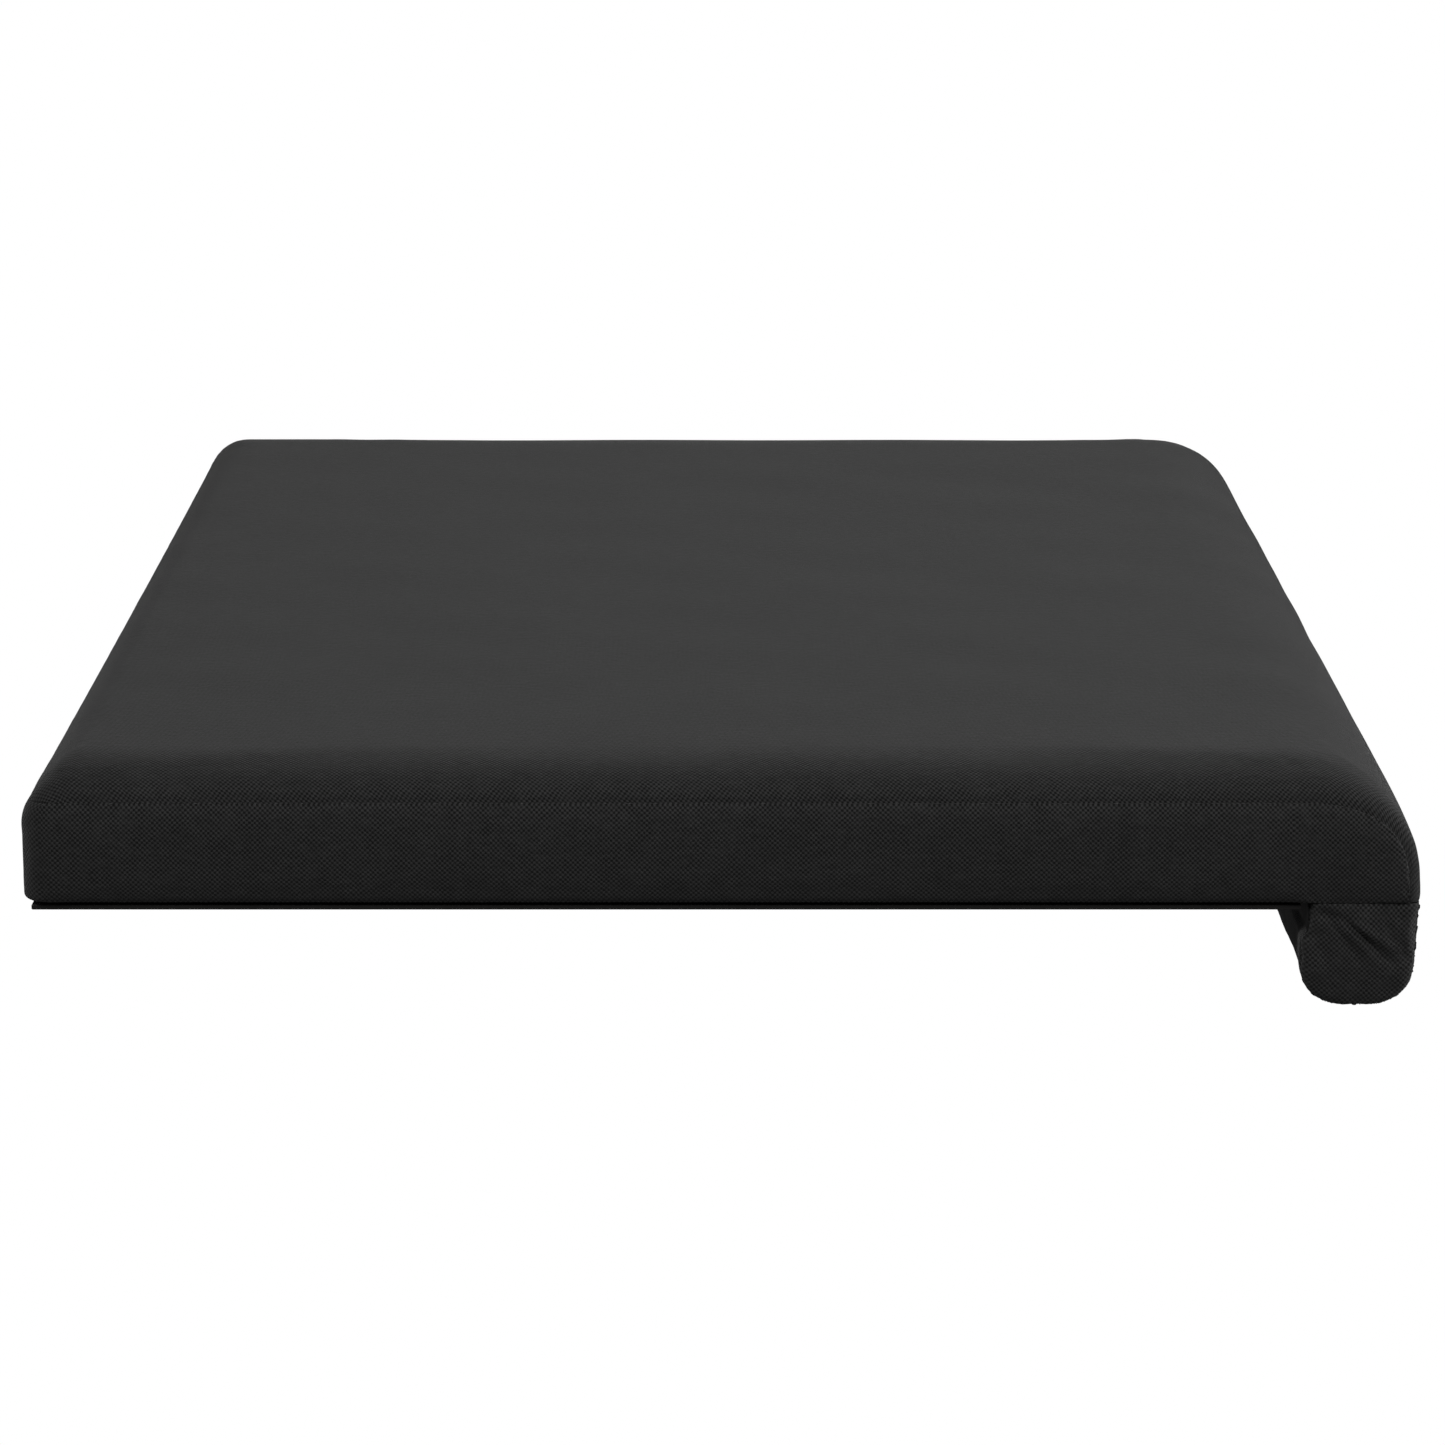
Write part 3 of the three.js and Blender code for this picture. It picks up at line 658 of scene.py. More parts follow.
def end_panel(side):
    """A boxed end, near for side -1 and far for 1, from the back's upright corner to the front roll."""
    start = math.asin((BACK_PANEL_Y - END_Y + BACK_CORNER) / BACK_CORNER)
    turns = np.linspace(start, math.pi / 2, 14)[:-1]
    corner_y = END_Y - BACK_CORNER + BACK_CORNER * np.sin(turns)
    front_x, front_z = waterfall(np.array([END_Y]), WATERFALL_TURNS[::-1])
    flat_x = np.linspace(BACK_X + BACK_CORNER, front_x[0], 246)[:-1]
    columns = len(turns) + len(flat_x) + len(front_x)
    height = SEAM_Z - PAD_Z
    share = graded_both(height, 0.005)[:, None] / height

    foot_x = np.concatenate([BACK_X + BACK_CORNER - BACK_CORNER * np.cos(turns), flat_x, front_x])
    foot_y = np.concatenate([corner_y, np.full(columns - len(turns), END_Y)])
    normal_x = np.concatenate([-np.cos(turns), np.zeros(columns - len(turns))])
    normal_y = np.concatenate([np.sin(turns), np.ones(columns - len(turns))])
    head_z = np.concatenate([np.full(columns - len(front_x), SEAM_Z), front_z])
    over_lip = ease(NECK_X - 0.02, NECK_X + 0.004, foot_x)[None, :]
    foot_z = mix(PAD_Z, lip_seam_level(foot_x)[None, :], over_lip)
    z = foot_z + share * (head_z[None, :] - foot_z)

    # the back corner leans in above the level where the back starts to roll
    climb = np.clip((z - back_level(foot_y)) / np.maximum(SEAM_Z - back_level(foot_y), 1e-4), 0, 1)
    roll_turn = np.arcsin(np.clip(climb * BACK_SEAM_UP, 0, 1) ** (BACK_FULLNESS / 2))
    lean_x, _ = back_roll(foot_y[None, :], roll_turn)
    in_corner = (np.arange(columns) < len(turns))[None, :]
    rolled_x = np.where(in_corner, lean_x, foot_x[None, :])

    tall = (head_z - PAD_Z)[None, :] / height
    crown = END_CROWN * tall * (1 - np.abs(2 * share - 1) ** 2.2) * normal_y**4
    radius = mix(BOTTOM_ROUND, 0.0015, over_lip) * np.minimum(tall * 1.6, 1)
    rise = np.clip(radius - (z - PAD_Z), 0, radius)
    tuck = radius - np.sqrt(np.maximum(radius**2 - rise**2, 0))
    to_seam = (1 - share) * tall * height
    to_foot = share * tall * height
    flat_share = normal_y**4  # 1 along the end, and 0 round the corner
    proud = END_SEAM_PROUD * (1 - np.exp(-to_seam / END_SEAM_FOLD)) * flat_share
    sink = proud + seam_sink(to_foot) * over_lip
    run = np.cumsum(np.hypot(np.gradient(foot_x), np.gradient(foot_y)))[None, :]
    waves = 0.0004 * ripples(run, z, 0.12, seed=21 + side) * np.sin(math.pi * share)
    pucker = 0.00025 * ripples(run, z, 0.014, seed=31 + side, count=4) * beside_seam(to_seam, 0.010, 0.002)
    offset = crown - tuck + sink + waves + pucker
    x = rolled_x + normal_x * offset
    y = foot_y + normal_y * offset
    grid = spread(x, side * y, z)
    grid = mix(grid, settle(grid, (None, 0, None), **END_SETTLE), flat_share[None, :, None])
    name = "end_panel_near" if side < 0 else "end_panel_far"
    node = "cover_near_end" if side < 0 else "cover_far_end"
    made = panel(name, grid, (None, 0, None), CLOTH, flat_uv=(run, z))
    finish_piece(made, COVER, [node])


def back_face(y, z):
    """x of the back at a height, upright below the roll."""
    climb = np.clip((z - back_level(y)) / (SEAM_Z - back_level(y)), 0, 1)
    turn = np.arcsin((climb * BACK_SEAM_UP) ** (BACK_FULLNESS / 2))
    return back_roll(y, turn)[0]


BACK_COLUMNS = 320


def back_panel(name, low, high, low_seam, high_seam, seed):
    """A strip of the zipped back between two heights, given for each y; the zip's edges are folded in."""
    y = np.linspace(-BACK_PANEL_Y, BACK_PANEL_Y, BACK_COLUMNS)[None, :]
    low, high = low(y), high(y)
    share = graded_both(1, 0.08, first=0.015)[:, None]
    z = mix(low, high, share)
    x = back_face(y, z)
    below, above = share * (high - low), (1 - share) * (high - low)
    bulge = BACK_BULGE * np.sin(math.pi * share) * (1 - 0.5 * np.abs(y / END_Y))
    tuck = 0
    if low_seam:
        rise = np.clip(BOTTOM_ROUND - (z - PAD_Z), 0, BOTTOM_ROUND)
        tuck = BOTTOM_ROUND - np.sqrt(BOTTOM_ROUND**2 - rise**2)
    edge = above if low_seam else below
    hem = HEM * (1 - np.sqrt(np.clip(1 - (1 - np.clip(edge / 0.0015, 0, 1)) ** 2, 0, 1)))
    seam = seam_sink(above) if high_seam else 0
    ends = seam_sink(BACK_PANEL_Y - np.abs(y))
    waves = 0.0004 * ripples(y, z, 0.09, seed=seed) * np.sin(math.pi * share)
    offset = bulge + waves + seam + ends - tuck - hem
    return panel(name, spread(x - offset, y, z), (0, None, None), CLOTH, (0, BACK_COLUMNS // 2))


def back_panels():
    """The back above and below the zip's window, which closes to a plain seam past the zip's ends."""
    zip_end = teeth_high.y + 0.006

    def window_low(y):
        return mix(WINDOW_BOTTOM, WINDOW_TOP - 0.0004, ease(zip_end, zip_end + 0.006, np.abs(y)))

    upper = back_panel("back_panel_upper", lambda y: WINDOW_TOP + 0 * y, lambda y: SEAM_Z + 0 * y,
                       False, True, 41)
    finish_piece(upper, COVER, ["cover_back_upper"])
    lower = back_panel("back_panel_lower", lambda y: PAD_Z + 0 * y, window_low, True, False, 43)
    finish_piece(lower, COVER, ["cover_back_lower"])


def bottom_lining():
    """The lining under the pad, with the back's rounded corners."""
    inset = BOTTOM_ROUND - 0.001
    half, corner = END_Y - inset, BACK_CORNER - inset
    marks = graded(half, 0.012)
    y = np.concatenate([marks[:-1] - half, half - marks[::-1]])[:, None]
    past = np.clip(np.abs(y) - half + corner, 0, corner)
    back = BACK_X + inset + corner - np.sqrt(corner**2 - past**2)
    x = mix(back, NECK_X, np.linspace(0, 1, 130)[None, :])
    grid = spread(x, y, PAD_Z + 0.0003 * ripples(x, y, 0.1, seed=51) + 0.0004)
    made = panel("bottom_lining", grid, (None, None, 1), LINING)
    finish_piece(made, LINING_CLOTH, ["cover_bottom"])


# ---------------------------------------------------------------- the lip
def lip_outline(count):
    """The lip's section from the front seam down, round the bottom and up the inner side to the neck."""
    centre_x = (FRONT_X + LIP_INNER_X) / 2
    centre_z = LIP_BOTTOM + LIP_ROUND
    turn = turns_at(np.linspace(0, 0.17, count), (FRONT_X - LIP_INNER_X) / 2, LIP_ROUND, LIP_FULLNESS)
    across, up = rounded(turn, LIP_FULLNESS)
    half = (FRONT_X - LIP_INNER_X) / 2
    outer = np.stack([centre_x + half * across, centre_z - LIP_ROUND * up], axis=-1)
    inner = np.stack([centre_x - half * across, centre_z - LIP_ROUND * up], axis=-1)[::-1]
    front_z = LIP_SEAM_Z - graded(LIP_SEAM_Z - centre_z, 0.004)[:-1]
    front = np.stack([np.full(len(front_z), FRONT_X), front_z], axis=-1)
    neck_low = NECK_Z - NECK_FLARE
    rise = np.linspace(0, 1, 5)[1:, None]
    inner_up = mix(inner[-1], np.array([LIP_INNER_X, neck_low]), rise)
    flare = np.linspace(0, 1, 6)[1:, None]
    neck = mix(inner_up[-1], np.array([NECK_X, NECK_Z]), flare)
    neck[:, 0] = LIP_INNER_X + (NECK_X - LIP_INNER_X) * ease(0, 1, flare[:, 0])
    ring = np.concatenate([front, outer, inner[1:], inner_up, neck])
    lean = LIP_TAPER * (LIP_TOP - ring[:, 1]) * (ring[:, 0] - LIP_INNER_X) / (FRONT_X - LIP_INNER_X)
    ring[:, 0] -= lean
    return ring


def lip_wrap():
    """The cloth round the lip's front, bottom and inner side, from the front seam to the neck."""
    half = END_Y - FRONT_CORNER
    marks = graded(half, 0.014)
    y = np.concatenate([marks[:-1] - half, half - marks[::-1]])[:, None]
    ring = lip_outline(WRAP_ARC)
    grid = spread(ring[None, :, 0], y, ring[None, :, 1])
    inside = ((FRONT_X + LIP_INNER_X) / 2, None, (LIP_TOP + LIP_BOTTOM) / 2)
    across, along = runs(grid, 1), runs(grid, 0)
    to_cap = np.minimum(along, along[-1:] - along)
    amount = 0.8 * seam_sink(np.minimum(across, to_cap))
    between_seams = np.sin(math.pi * across / across[:, -1:]) * ease(0, 0.03, to_cap)
    amount = amount + 0.0007 * ripples(across, y, 0.09, seed=61) * between_seams
    gathers = np.sin(2 * math.pi * across / 0.016 + 2 * ripples(across, y, 0.04, seed=62))
    amount = amount + 0.0002 * gathers * beside_seam(to_cap, 0.014, 0.006)
    inner_side = ease(FRONT_X - 0.04, LIP_INNER_X + 0.02, grid[..., 0]) * ease(0, 0.05, to_cap)
    grid = settle(push(grid, inside, amount - LIP_INNER_SINK * inner_side), inside, **WRAP_SETTLE)
    made = panel("lip_wrap_panel", grid, inside, CLOTH, (len(y) // 2, 0))
    finish_piece(made, COVER, ["lip_wrap"])


WRAP_ARC, CAP_ARC = 40, 26  # points in each half of the lip's rounded bottom
CAP_RIGHT_END, CAP_LEFT_END = 0.40, 0.60  # the bottom edge of a cap's grid, as shares of its outline


def along_line(points, marks):
    """Points on a polyline at shares of its length."""
    run = np.concatenate([[0], np.cumsum(np.linalg.norm(np.diff(points, axis=0), axis=1))])
    places = np.asarray(marks) * run[-1]
    return np.stack([np.interp(places, run, points[:, i]) for i in range(2)], axis=-1)


def crease(x, z, start, end, width):
    """1 along a line that fades out towards its end, falling to 0 at its sides."""
    line = np.subtract(end, start)
    length = np.hypot(*line)
    share = ((x - start[0]) * line[0] + (z - start[1]) * line[1]) / length**2
    off = ((z - start[1]) * line[0] - (x - start[0]) * line[1]) / length
    fade = ease(-0.12, 0.15, share) * (1 - ease(0.40, 1.0, share))
    spread_out = width * (0.6 + 0.8 * np.clip(share, 0, 1))
    return fade * np.exp(-((off / spread_out) ** 2))


# each pleat in the cap: height (below zero for a fold), where it starts and ends in x and z, and its width
PLEATS = [
    (-0.0048, (0.598, -0.010), (0.636, -0.062), 0.0030),
    (-0.0052, (0.612, -0.008), (0.670, -0.063), 0.0034),
    (-0.0050, (0.584, 0.000), (0.632, -0.019), 0.0075),
    (0.0028, (0.604, -0.009), (0.652, -0.058), 0.0032),
    (0.0038, (0.610, -0.006), (0.674, -0.046), 0.0050),
    (-0.0022, (0.580, -0.014), (0.604, -0.078), 0.0060),
]


def lip_cap(side):
    """The lip's closed end, gathered in at the neck so that pleats run down from there."""
    marks_down = np.concatenate([graded(0.5, 0.024, 0.006), 1 - graded(0.5, 0.024, 0.0006)[-2::-1]])
    marks_across = graded_both(1, 0.024, first=0.0006)
    path = np.concatenate([lip_outline(CAP_ARC), [[NECK_X, LIP_SEAM_Z]]])
    right = along_line(path, marks_down * CAP_RIGHT_END)
    bottom = along_line(path, mix(CAP_LEFT_END, CAP_RIGHT_END, marks_across))
    left = along_line(path, 1 - marks_down * (1 - CAP_LEFT_END))
    top = mix(left[0], right[0], marks_across[:, None])
    top[:, 1] = lip_seam_level(top[:, 0])
    # the inside is filled in between the four edges
    u, v = marks_across[None, :, None], marks_down[:, None, None]
    across = mix(left[:, None], right[:, None], u)
    down = mix(top[None], bottom[None], v)
    flat = across + down - mix(mix(left[0], right[0], u), mix(bottom[0], bottom[-1], u), v)
    x, z = flat[..., 0], flat[..., 1]

    # distance to the seam that joins the cap to the wrap, by the nearest point of its outline
    outline = along_line(path, np.linspace(0, 1, 400))
    gaps = np.hypot(x[..., None] - outline[:, 0], z[..., None] - outline[:, 1])
    to_wrap = gaps.min(axis=-1)
    middle_x, middle_z = (FRONT_X + LIP_INNER_X) / 2, (LIP_TOP + LIP_BOTTOM) / 2
    reach_in = np.hypot(x - middle_x, z - middle_z)
    to_top = lip_seam_level(x) - z
    rise = np.clip(FRONT_CORNER - to_wrap, 0, FRONT_CORNER)
    tuck = FRONT_CORNER - np.sqrt(np.maximum(FRONT_CORNER**2 - rise**2, 0))
    crown = CAP_CROWN * np.clip(to_wrap / 0.05, 0, 1) ** 0.7 * ease(0, 0.03, to_top)
    pleats = sum(height * crease(x, z, start, end, width) for height, start, end, width in PLEATS)
    pull = -0.0022 * np.exp(-np.hypot(x - NECK_X, z - LIP_TOP) / 0.018)
    waves = 0.0005 * ripples(x, z, 0.035, seed=71 + side)
    inner = np.clip(to_wrap / 0.012, 0, 1)
    sink = seam_sink(to_top) + 0.7 * seam_sink(to_wrap)
    y = END_Y - tuck + crown + (pleats + pull + waves) * inner + sink
    # at its rim the cap draws in with the wrap's edge
    draw = 0.0012 * np.exp(-to_wrap / 0.004) / np.maximum(reach_in, 0.01)
    x, z = x - (x - middle_x) * draw, z - (z - middle_z) * draw
    grid = settle(spread(x, side * y, z), (None, 0, None), **CAP_SETTLE)
    name = "lip_cap_near" if side < 0 else "lip_cap_far"
    node = "lip_near_cap" if side < 0 else "lip_far_cap"
    made = panel(name, grid, (None, 0, None), CLOTH, flat_uv=(x, z))
    finish_piece(made, COVER, [node])


def neck_lining():
    """The smooth lining between the lip's wrap and the pad's underside."""
    y = np.linspace(lining_low.y, lining_high.y, 170)[:, None]
    share = np.linspace(0, 1, 12)[None, :]
    z = mix(lining_low.z, lining_high.z, share)
    sag = 0.0016 * np.sin(math.pi * share) + 0.0006 * ripples(y, z, 0.08, seed=81)
    ends = ease(0, 0.05, END_Y - FRONT_CORNER - np.abs(y))
    grid = spread(NECK_X - 0.0004 - sag * np.sin(math.pi * share) ** 0.5 * ends, y, z)
    made = panel("neck_lining", grid, (1, None, None), LINING)
    finish_piece(made, LINING_CLOTH, ["lip_inner_lining"])


# ---------------------------------------------------------------- seams and fillings
BEHIND_SEAM, ABOVE_LIP_SEAM = 0.0014, 0.004  # where the lip's turned-in edges start
PAD_MIDDLE_Z = 0.05  # a level inside the pad, to tell its inside from its outside


def seam_allowance(name, line, inward, width=0.008):
    """The turned-in edges of cloth behind a seam, as a strip from the seam line inwards."""
    share = np.linspace(0, 1, 4)[:, None, None]
    grid = line[None] + inward[None] * share * width
    made = panel(name, grid, (0, 0, PAD_MIDDLE_Z), ALLOWANCE)
    finish_piece(made, COVER, [])


def seam_allowances():
    """The strips behind the end seams and behind the seams round the lip's top."""
    depth = 0.0024  # behind the end seams
    turns = WATERFALL_TURNS[::-1]
    for side, label in ((-1, "near"), (1, "far")):
        front_x, front_z = waterfall(np.array([END_Y]), turns)
        flat_x = np.linspace(BACK_X + BACK_CORNER + 0.004, front_x[0], 260)[:-1]
        x = np.concatenate([flat_x, front_x - 0.002])
        z = np.concatenate([np.full(len(flat_x), SEAM_Z), front_z]) - ALLOWANCE
        line = spread(x, side * (END_Y - depth), z)
        lean = ease(WATERFALL_END_X, FRONT_X - 0.01, x)
        inward = np.stack([-lean, np.zeros(len(x)), lean - 1], axis=-1)
        inward /= np.linalg.norm(inward, axis=-1, keepdims=True)
        seam_allowance(f"end_seam_allowance_{label}", line, inward)
        x = np.linspace(NECK_X + 0.004, FRONT_X - FRONT_CORNER, 40)
        line = spread(x, side * (END_Y - SEAM_SINK - BEHIND_SEAM), LIP_SEAM_Z + ABOVE_LIP_SEAM)
        seam_allowance(f"lip_seam_allowance_{label}", line, np.tile((0.0, 0.0, -1.0), (len(x), 1)))
    y = np.linspace(-END_Y + FRONT_CORNER, END_Y - FRONT_CORNER, 200)
    line = spread(FRONT_X - SEAM_SINK - BEHIND_SEAM, y, LIP_SEAM_Z + ABOVE_LIP_SEAM)
    seam_allowance("lip_seam_allowance_front", line, np.tile((0.0, 0.0, -1.0), (len(y), 1)))


def softened(node, name, width, segments=2):
    """A copy of a frame node with its sharp edges eased."""
    source = bpy.data.objects[node].data
    mesh = bpy.data.meshes.new(name)
    form = bmesh.new()
    form.from_mesh(source)
    bmesh.ops.remove_doubles(form, verts=form.verts, dist=0.00002)
    bmesh.ops.dissolve_limit(form, angle_limit=math.radians(2), verts=form.verts, edges=form.edges)
    form.to_mesh(mesh)
    form.free()
    made = bpy.data.objects.new(name, mesh)
    bpy.context.collection.objects.link(made)
    bevel = made.modifiers.new("ease", "BEVEL")
    bevel.width, bevel.segments = width, segments
    bevel.limit_method, bevel.angle_limit = "ANGLE", math.radians(35)
    eased = bpy.data.meshes.new_from_object(made.evaluated_get(bpy.context.evaluated_depsgraph_get()))
    made.modifiers.clear()
    made.data = eased
    eased.name = name
    eased.polygons.foreach_set("use_smooth", np.ones(len(eased.polygons), dtype=bool))
    eased.set_sharp_from_angle(angle=math.radians(40))
    return made


def fillings():
    """The foams and fibre, cut a little smaller than the space under the cover, with softened edges."""
    firm = cut_foam("firm_foam", (0.42, 0.38, 0.27), (0.66, 0.62, 0.47), 0.0022)
    soft = cut_foam("soft_foam", (0.60, 0.57, 0.46), (0.84, 0.81, 0.70), 0.0030)
    batt = fibre_fill()
    cuts = [
        ("foam_core", firm, "firm_foam", 0.006, 0.0), ("foam_comfort_layer", soft, "soft_foam", 0.004, 0.0),
        ("foam_front_roll", soft, "soft_foam", 0.004, 0.0), ("foam_lip", firm, "firm_foam", 0.006, 0.004),
        ("fibre_layer", batt, "fibre_fill", 0.004, 0.0012),
    ]
    for node, material, slot, inset, inset_z in cuts:
        low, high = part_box(node)
        middle = (low + high) / 2
        trim = [1 - 2 * cut / (high[i] - low[i]) for i, cut in enumerate((inset, inset, inset_z))]
        cut = softened(node, node + "_cut", 0.0015)
        for vertex in cut.data.vertices:
            offset = vertex.co - middle
            vertex.co = middle + Vector(offset[i] * trim[i] for i in range(3))
        finish_piece(cut, material, [node])


# ---------------------------------------------------------------- the zip
def zip_guard():
    """A strip of cover cloth behind the zip, clear of the slider, that keeps the filling out of the teeth."""
    x = SLIDER_INNER_X + ZIP_GUARD_GAP
    end = teeth_high.y + ZIP_GUARD_REACH
    y = np.linspace(-end, end, 300)[None, :]
    z = np.linspace(WINDOW_BOTTOM - ZIP_GUARD_WIDTH, WINDOW_TOP + ZIP_GUARD_WIDTH, 6)[:, None]
    made = panel("zip_guard", spread(x, y, z), (0, None, None), ZIP_GUARD)
    finish_piece(made, COVER, [])


def zip_metalwork():
    """The slider, its pull and the stops, with worn round edges."""
    for node, body, width in [("zip_slider", "slider", 0.00025), ("zip_pull", "pull", 0.0002),
                              ("zip_top_stop_upper", "mattress", 0.0003),
                              ("zip_top_stop_lower", "mattress", 0.0003),
                              ("zip_bottom_stop", "mattress", 0.0003)]:
        finish_piece(softened(node, node + "_metal", width), METAL, [node], body)


def bead_tree():
    """Geometry Nodes that string rounded beads along a line at a pitch: thread stitches or zip coils."""
    tree = bpy.data.node_groups.new("beads_on_a_line", "GeometryNodeTree")
    sockets = tree.interface
    sockets.new_socket("Geometry", in_out="OUTPUT", socket_type="NodeSocketGeometry")
    sockets.new_socket("Geometry", in_out="INPUT", socket_type="NodeSocketGeometry")
    sockets.new_socket("Pitch", in_out="INPUT", socket_type="NodeSocketFloat")
    sockets.new_socket("Bead Size", in_out="INPUT", socket_type="NodeSocketVector")
    sockets.new_socket("Finish", in_out="INPUT", socket_type="NodeSocketMaterial")
    enter, leave = tree.nodes.new("NodeGroupInput"), tree.nodes.new("NodeGroupOutput")
    link = tree.links.new
    line = tree.nodes.new("GeometryNodeMeshToCurve")
    points = tree.nodes.new("GeometryNodeResampleCurve")
    points.mode = "LENGTH"
    bead = tree.nodes.new("GeometryNodeMeshUVSphere")
    bead.inputs["Segments"].default_value = 8
    bead.inputs["Rings"].default_value = 5
    bead.inputs["Radius"].default_value = 0.5
    place = tree.nodes.new("GeometryNodeInstanceOnPoints")
    real = tree.nodes.new("GeometryNodeRealizeInstances")
    smooth = tree.nodes.new("GeometryNodeSetShadeSmooth")
    finish = tree.nodes.new("GeometryNodeSetMaterial")
    link(enter.outputs["Geometry"], line.inputs["Mesh"])
    link(line.outputs["Curve"], points.inputs["Curve"])
    link(enter.outputs["Pitch"], points.inputs["Length"])
    link(points.outputs["Curve"], place.inputs["Points"])
    link(bead.outputs["Mesh"], place.inputs["Instance"])
    link(enter.outputs["Bead Size"], place.inputs["Scale"])
    link(place.outputs["Instances"], real.inputs["Geometry"])
    link(real.outputs["Geometry"], smooth.inputs["Geometry"])
    link(smooth.outputs["Geometry"], finish.inputs["Geometry"])
    link(enter.outputs["Finish"], finish.inputs["Material"])
    link(finish.outputs["Geometry"], leave.inputs["Geometry"])
    return tree


def beads(name, tree, lines, pitch, size, material):
    """One mesh of beads along lines, each given by its points."""
    points, edges = [], []
    for line in lines:
        edges += [(len(points) + i, len(points) + i + 1) for i in range(len(line) - 1)]
        points += line
    mesh = bpy.data.meshes.new(name)
    mesh.from_pydata(points, edges, [])
    made = bpy.data.objects.new(name, mesh)
    bpy.context.collection.objects.link(made)
    strung = made.modifiers.new("beads", "NODES")
    strung.node_group = tree
    values = {"Pitch": pitch, "Bead Size": size, "Finish": material}
    for socket in tree.interface.items_tree:
        if socket.in_out == "INPUT" and socket.name in values:
            strung[socket.identifier] = values[socket.name]
    made.update_tag()
    solid = made.evaluated_get(bpy.context.evaluated_depsgraph_get())
    result = bpy.data.meshes.new_from_object(solid)
    made.modifiers.clear()
    made.data = result
    result.name = name
    return made


COIL_PITCH = 0.0022
COIL_PLACE, COIL_TALL, COIL_FAT = 0.36, 1.2, 0.62  # shares of a row's height, and of the pitch
STITCH_PITCH, STITCH_SIZE = 0.0042, (0.0006, 0.0034, 0.0008)
STITCH_INSET, STITCH_PROUD = 0.0032, 0.0004  # from the window's edge, and out from the cloth


def zip_rows(tree):
    """The two rows of nylon coil, meshed half a pitch apart, and the topstitching beside the zip."""
    x = (teeth_low.x + teeth_high.x) / 2
    thick = teeth_high.x - teeth_low.x
    start, end = teeth_low.y, teeth_high.y
    for name, side, shift in (("upper", 1, 0), ("lower", -1, COIL_PITCH / 2)):
        z = ZIP_Z + side * (teeth_high.z - ZIP_Z) * COIL_PLACE
        line = [(x, start + shift + COIL_PITCH / 2, z), (x, end - COIL_PITCH, z)]
        size = (thick, COIL_PITCH * COIL_FAT, (teeth_high.z - ZIP_Z) * COIL_TALL)
        coil = beads(f"zip_coil_{name}", tree, [line], COIL_PITCH, size, NYLON)
        finish_piece(coil, NYLON, [f"zip_teeth_{name}"])
    length, proud = end + 0.004, BACK_X - STITCH_PROUD
    heights = (WINDOW_TOP + STITCH_INSET, WINDOW_BOTTOM - STITCH_INSET)
    rows = [[(proud, -length, z), (proud, length, z)] for z in heights]
    stitches = beads("zip_topstitching", tree, rows, STITCH_PITCH, STITCH_SIZE, THREAD)
    finish_piece(stitches, THREAD, [])


# ---------------------------------------------------------------- the frame's own pieces
def kept_nodes():
    """Better finishes on the frame's own nodes that stay as they are."""
    finishes = {"base_board": hardboard(), "zip_tape_upper": zip_tape_cloth()}
    finishes["zip_tape_lower"] = finishes["zip_tape_upper"]
    hooks, loops = hook_tape(), loop_tape()
    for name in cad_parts:
        if name.startswith("hook_strip"):
            finishes[name] = hooks
        if name.startswith("loop_strip"):
            finishes[name] = loops
    for name, material in finishes.items():
        node = bpy.data.objects[name]
        for place in node.material_slots:
            place.material = material


# ---------------------------------------------------------------- stage, lights and camera
FLOOR_REACH, FLOOR_DROP = 60, 0.002


def white_floor():
    """A white floor just under the lip, which lights nothing and takes no shadow."""
    mesh = bpy.data.meshes.new("floor")
    corners = [(-1, -1), (1, -1), (1, 1), (-1, 1)]
    level = LIP_BOTTOM - FLOOR_DROP
    points = [(x * FLOOR_REACH, y * FLOOR_REACH, level) for x, y in corners]
    mesh.from_pydata(points, [], [(0, 1, 2, 3)])
    floor = bpy.data.objects.new("floor", mesh)
    bpy.context.collection.objects.link(floor)
    paper = bpy.data.materials.new("white_paper")
    paper.use_nodes = True
    nodes, links = paper.node_tree.nodes, paper.node_tree.links
    nodes.clear()
    glow = nodes.new("ShaderNodeEmission")
    glow.inputs["Strength"].default_value = 1.0
    links.new(glow.outputs[0], nodes.new("ShaderNodeOutputMaterial").inputs["Surface"])
    mesh.materials.append(paper)
    floor.visible_diffuse = False
    floor.visible_glossy = False
    floor.visible_shadow = False


def area_light(name, place, target, size, power):
    lamp = bpy.data.lights.new(name, "AREA")
    lamp.shape = "RECTANGLE"
    lamp.size, lamp.size_y = size
    lamp.energy = power
    made = bpy.data.objects.new(name, lamp)
    made.location = place
    made.rotation_euler = (Vector(target) - Vector(place)).to_track_quat("-Z", "Y").to_euler()
    bpy.context.collection.objects.link(made)


SKY, UNDER_SKY = 0.049, 0.115  # soft light from all round, above and below
RIGHT_SIDE, FRONT_HIGH, BACK_HIGH, LEFT_SIDE, BACK_LOW = 42, 101, 8, 14, 12


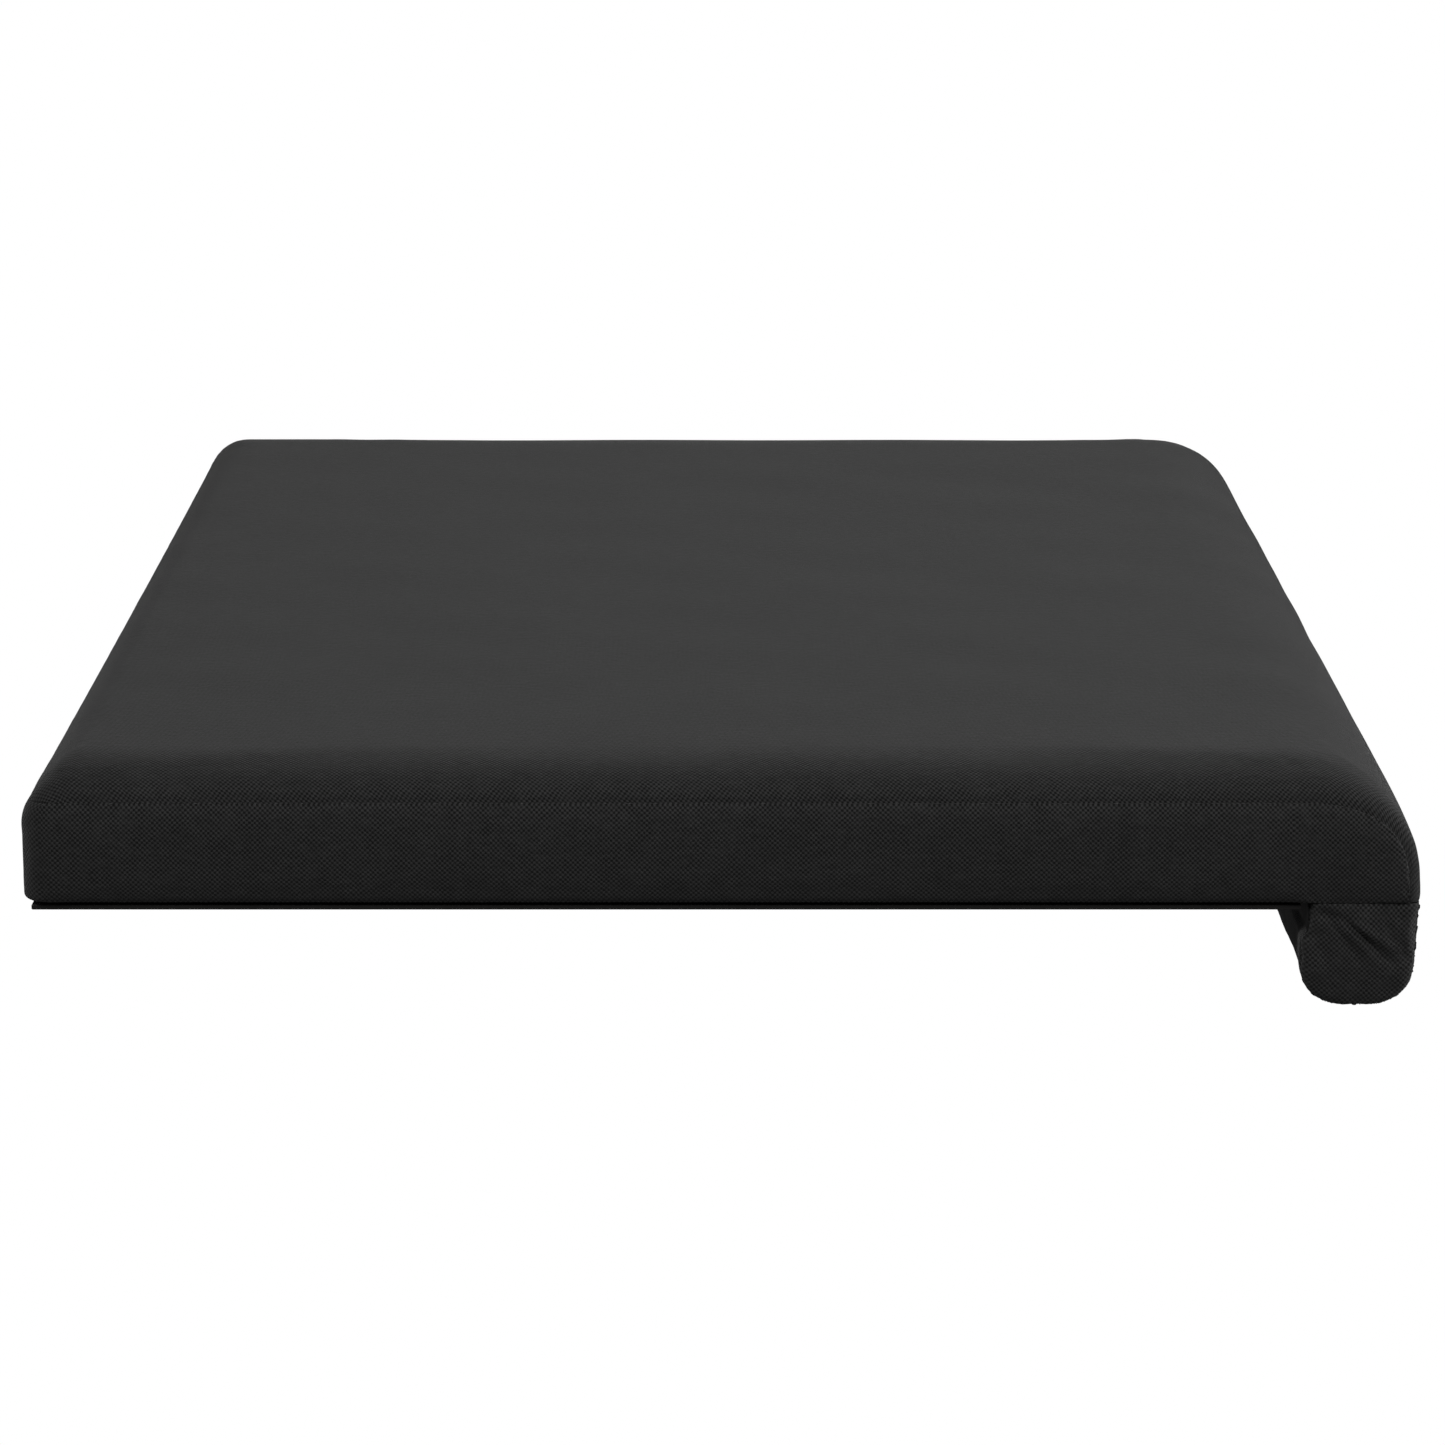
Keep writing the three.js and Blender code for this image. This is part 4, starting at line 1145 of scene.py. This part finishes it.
def studio():
    """A white surround to look at, five lights, and a soft sky that is brighter below than above."""
    world = bpy.data.worlds.new("studio")
    world.use_nodes = True
    bpy.context.scene.world = world
    nodes, links = world.node_tree.nodes, world.node_tree.links
    nodes.clear()
    seen = nodes.new("ShaderNodeBackground")
    seen.inputs["Color"].default_value = (1, 1, 1, 1)
    heading = nodes.new("ShaderNodeTexCoord")
    parts = nodes.new("ShaderNodeSeparateXYZ")
    links.new(heading.outputs["Generated"], parts.inputs[0])
    level = nodes.new("ShaderNodeMapRange")
    level.inputs["From Min"].default_value = -0.15
    level.inputs["From Max"].default_value = 0.45
    level.inputs["To Min"].default_value = UNDER_SKY
    level.inputs["To Max"].default_value = SKY
    links.new(parts.outputs["Z"], level.inputs["Value"])
    glow = nodes.new("ShaderNodeBackground")
    glow.inputs["Color"].default_value = (1, 1, 1, 1)
    links.new(level.outputs[0], glow.inputs["Strength"])
    path = nodes.new("ShaderNodeLightPath")
    blend = nodes.new("ShaderNodeMixShader")
    links.new(path.outputs["Is Camera Ray"], blend.inputs[0])
    links.new(glow.outputs[0], blend.inputs[1])
    links.new(seen.outputs[0], blend.inputs[2])
    links.new(blend.outputs[0], nodes.new("ShaderNodeOutputWorld").inputs["Surface"])
    area_light("right_side", (3.5, -0.6, 1.0), (0.4, 0, 0.05), (2.5, 2.0), RIGHT_SIDE)
    area_light("front_high", (0.0, -3.7, 3.15), (0, -0.6, 0.0), (4.0, 1.5), FRONT_HIGH)
    area_light("back_high", (0.0, 3.8, 2.6), (0, 0.6, 0.0), (4.0, 1.5), BACK_HIGH)
    area_light("left_side", (-5.0, 0.3, 0.9), (-0.6, 0, 0.05), (2.5, 1.2), LEFT_SIDE)
    area_light("back_low", (0.0, 6.0, 0.9), (0, 0.9, 0.05), (4.0, 1.2), BACK_LOW)


def camera():
    """A long lens at the near end, a little above the mattress."""
    lens = bpy.data.cameras.new("camera")
    lens.lens, lens.sensor_width = 124.57, 36
    lens.shift_x = 0.0031
    lens.clip_end = 200
    made = bpy.data.objects.new("camera", lens)
    made.location = (-0.0033, -5.6783, 1.3053)
    made.rotation_euler = (math.radians(76.73), 0, 0)
    bpy.context.collection.objects.link(made)
    bpy.context.scene.camera = made


# ---------------------------------------------------------------- the whole mattress
camera()
studio()
white_floor()
kept_nodes()
top_panel()
for end in (-1, 1):
    end_panel(end)
back_panels()
zip_guard()
bottom_lining()
lip_wrap()
for end in (-1, 1):
    lip_cap(end)
neck_lining()
seam_allowances()
fillings()
zip_metalwork()
zip_rows(bead_tree())
bpy.context.scene.view_settings.view_transform = "Standard"
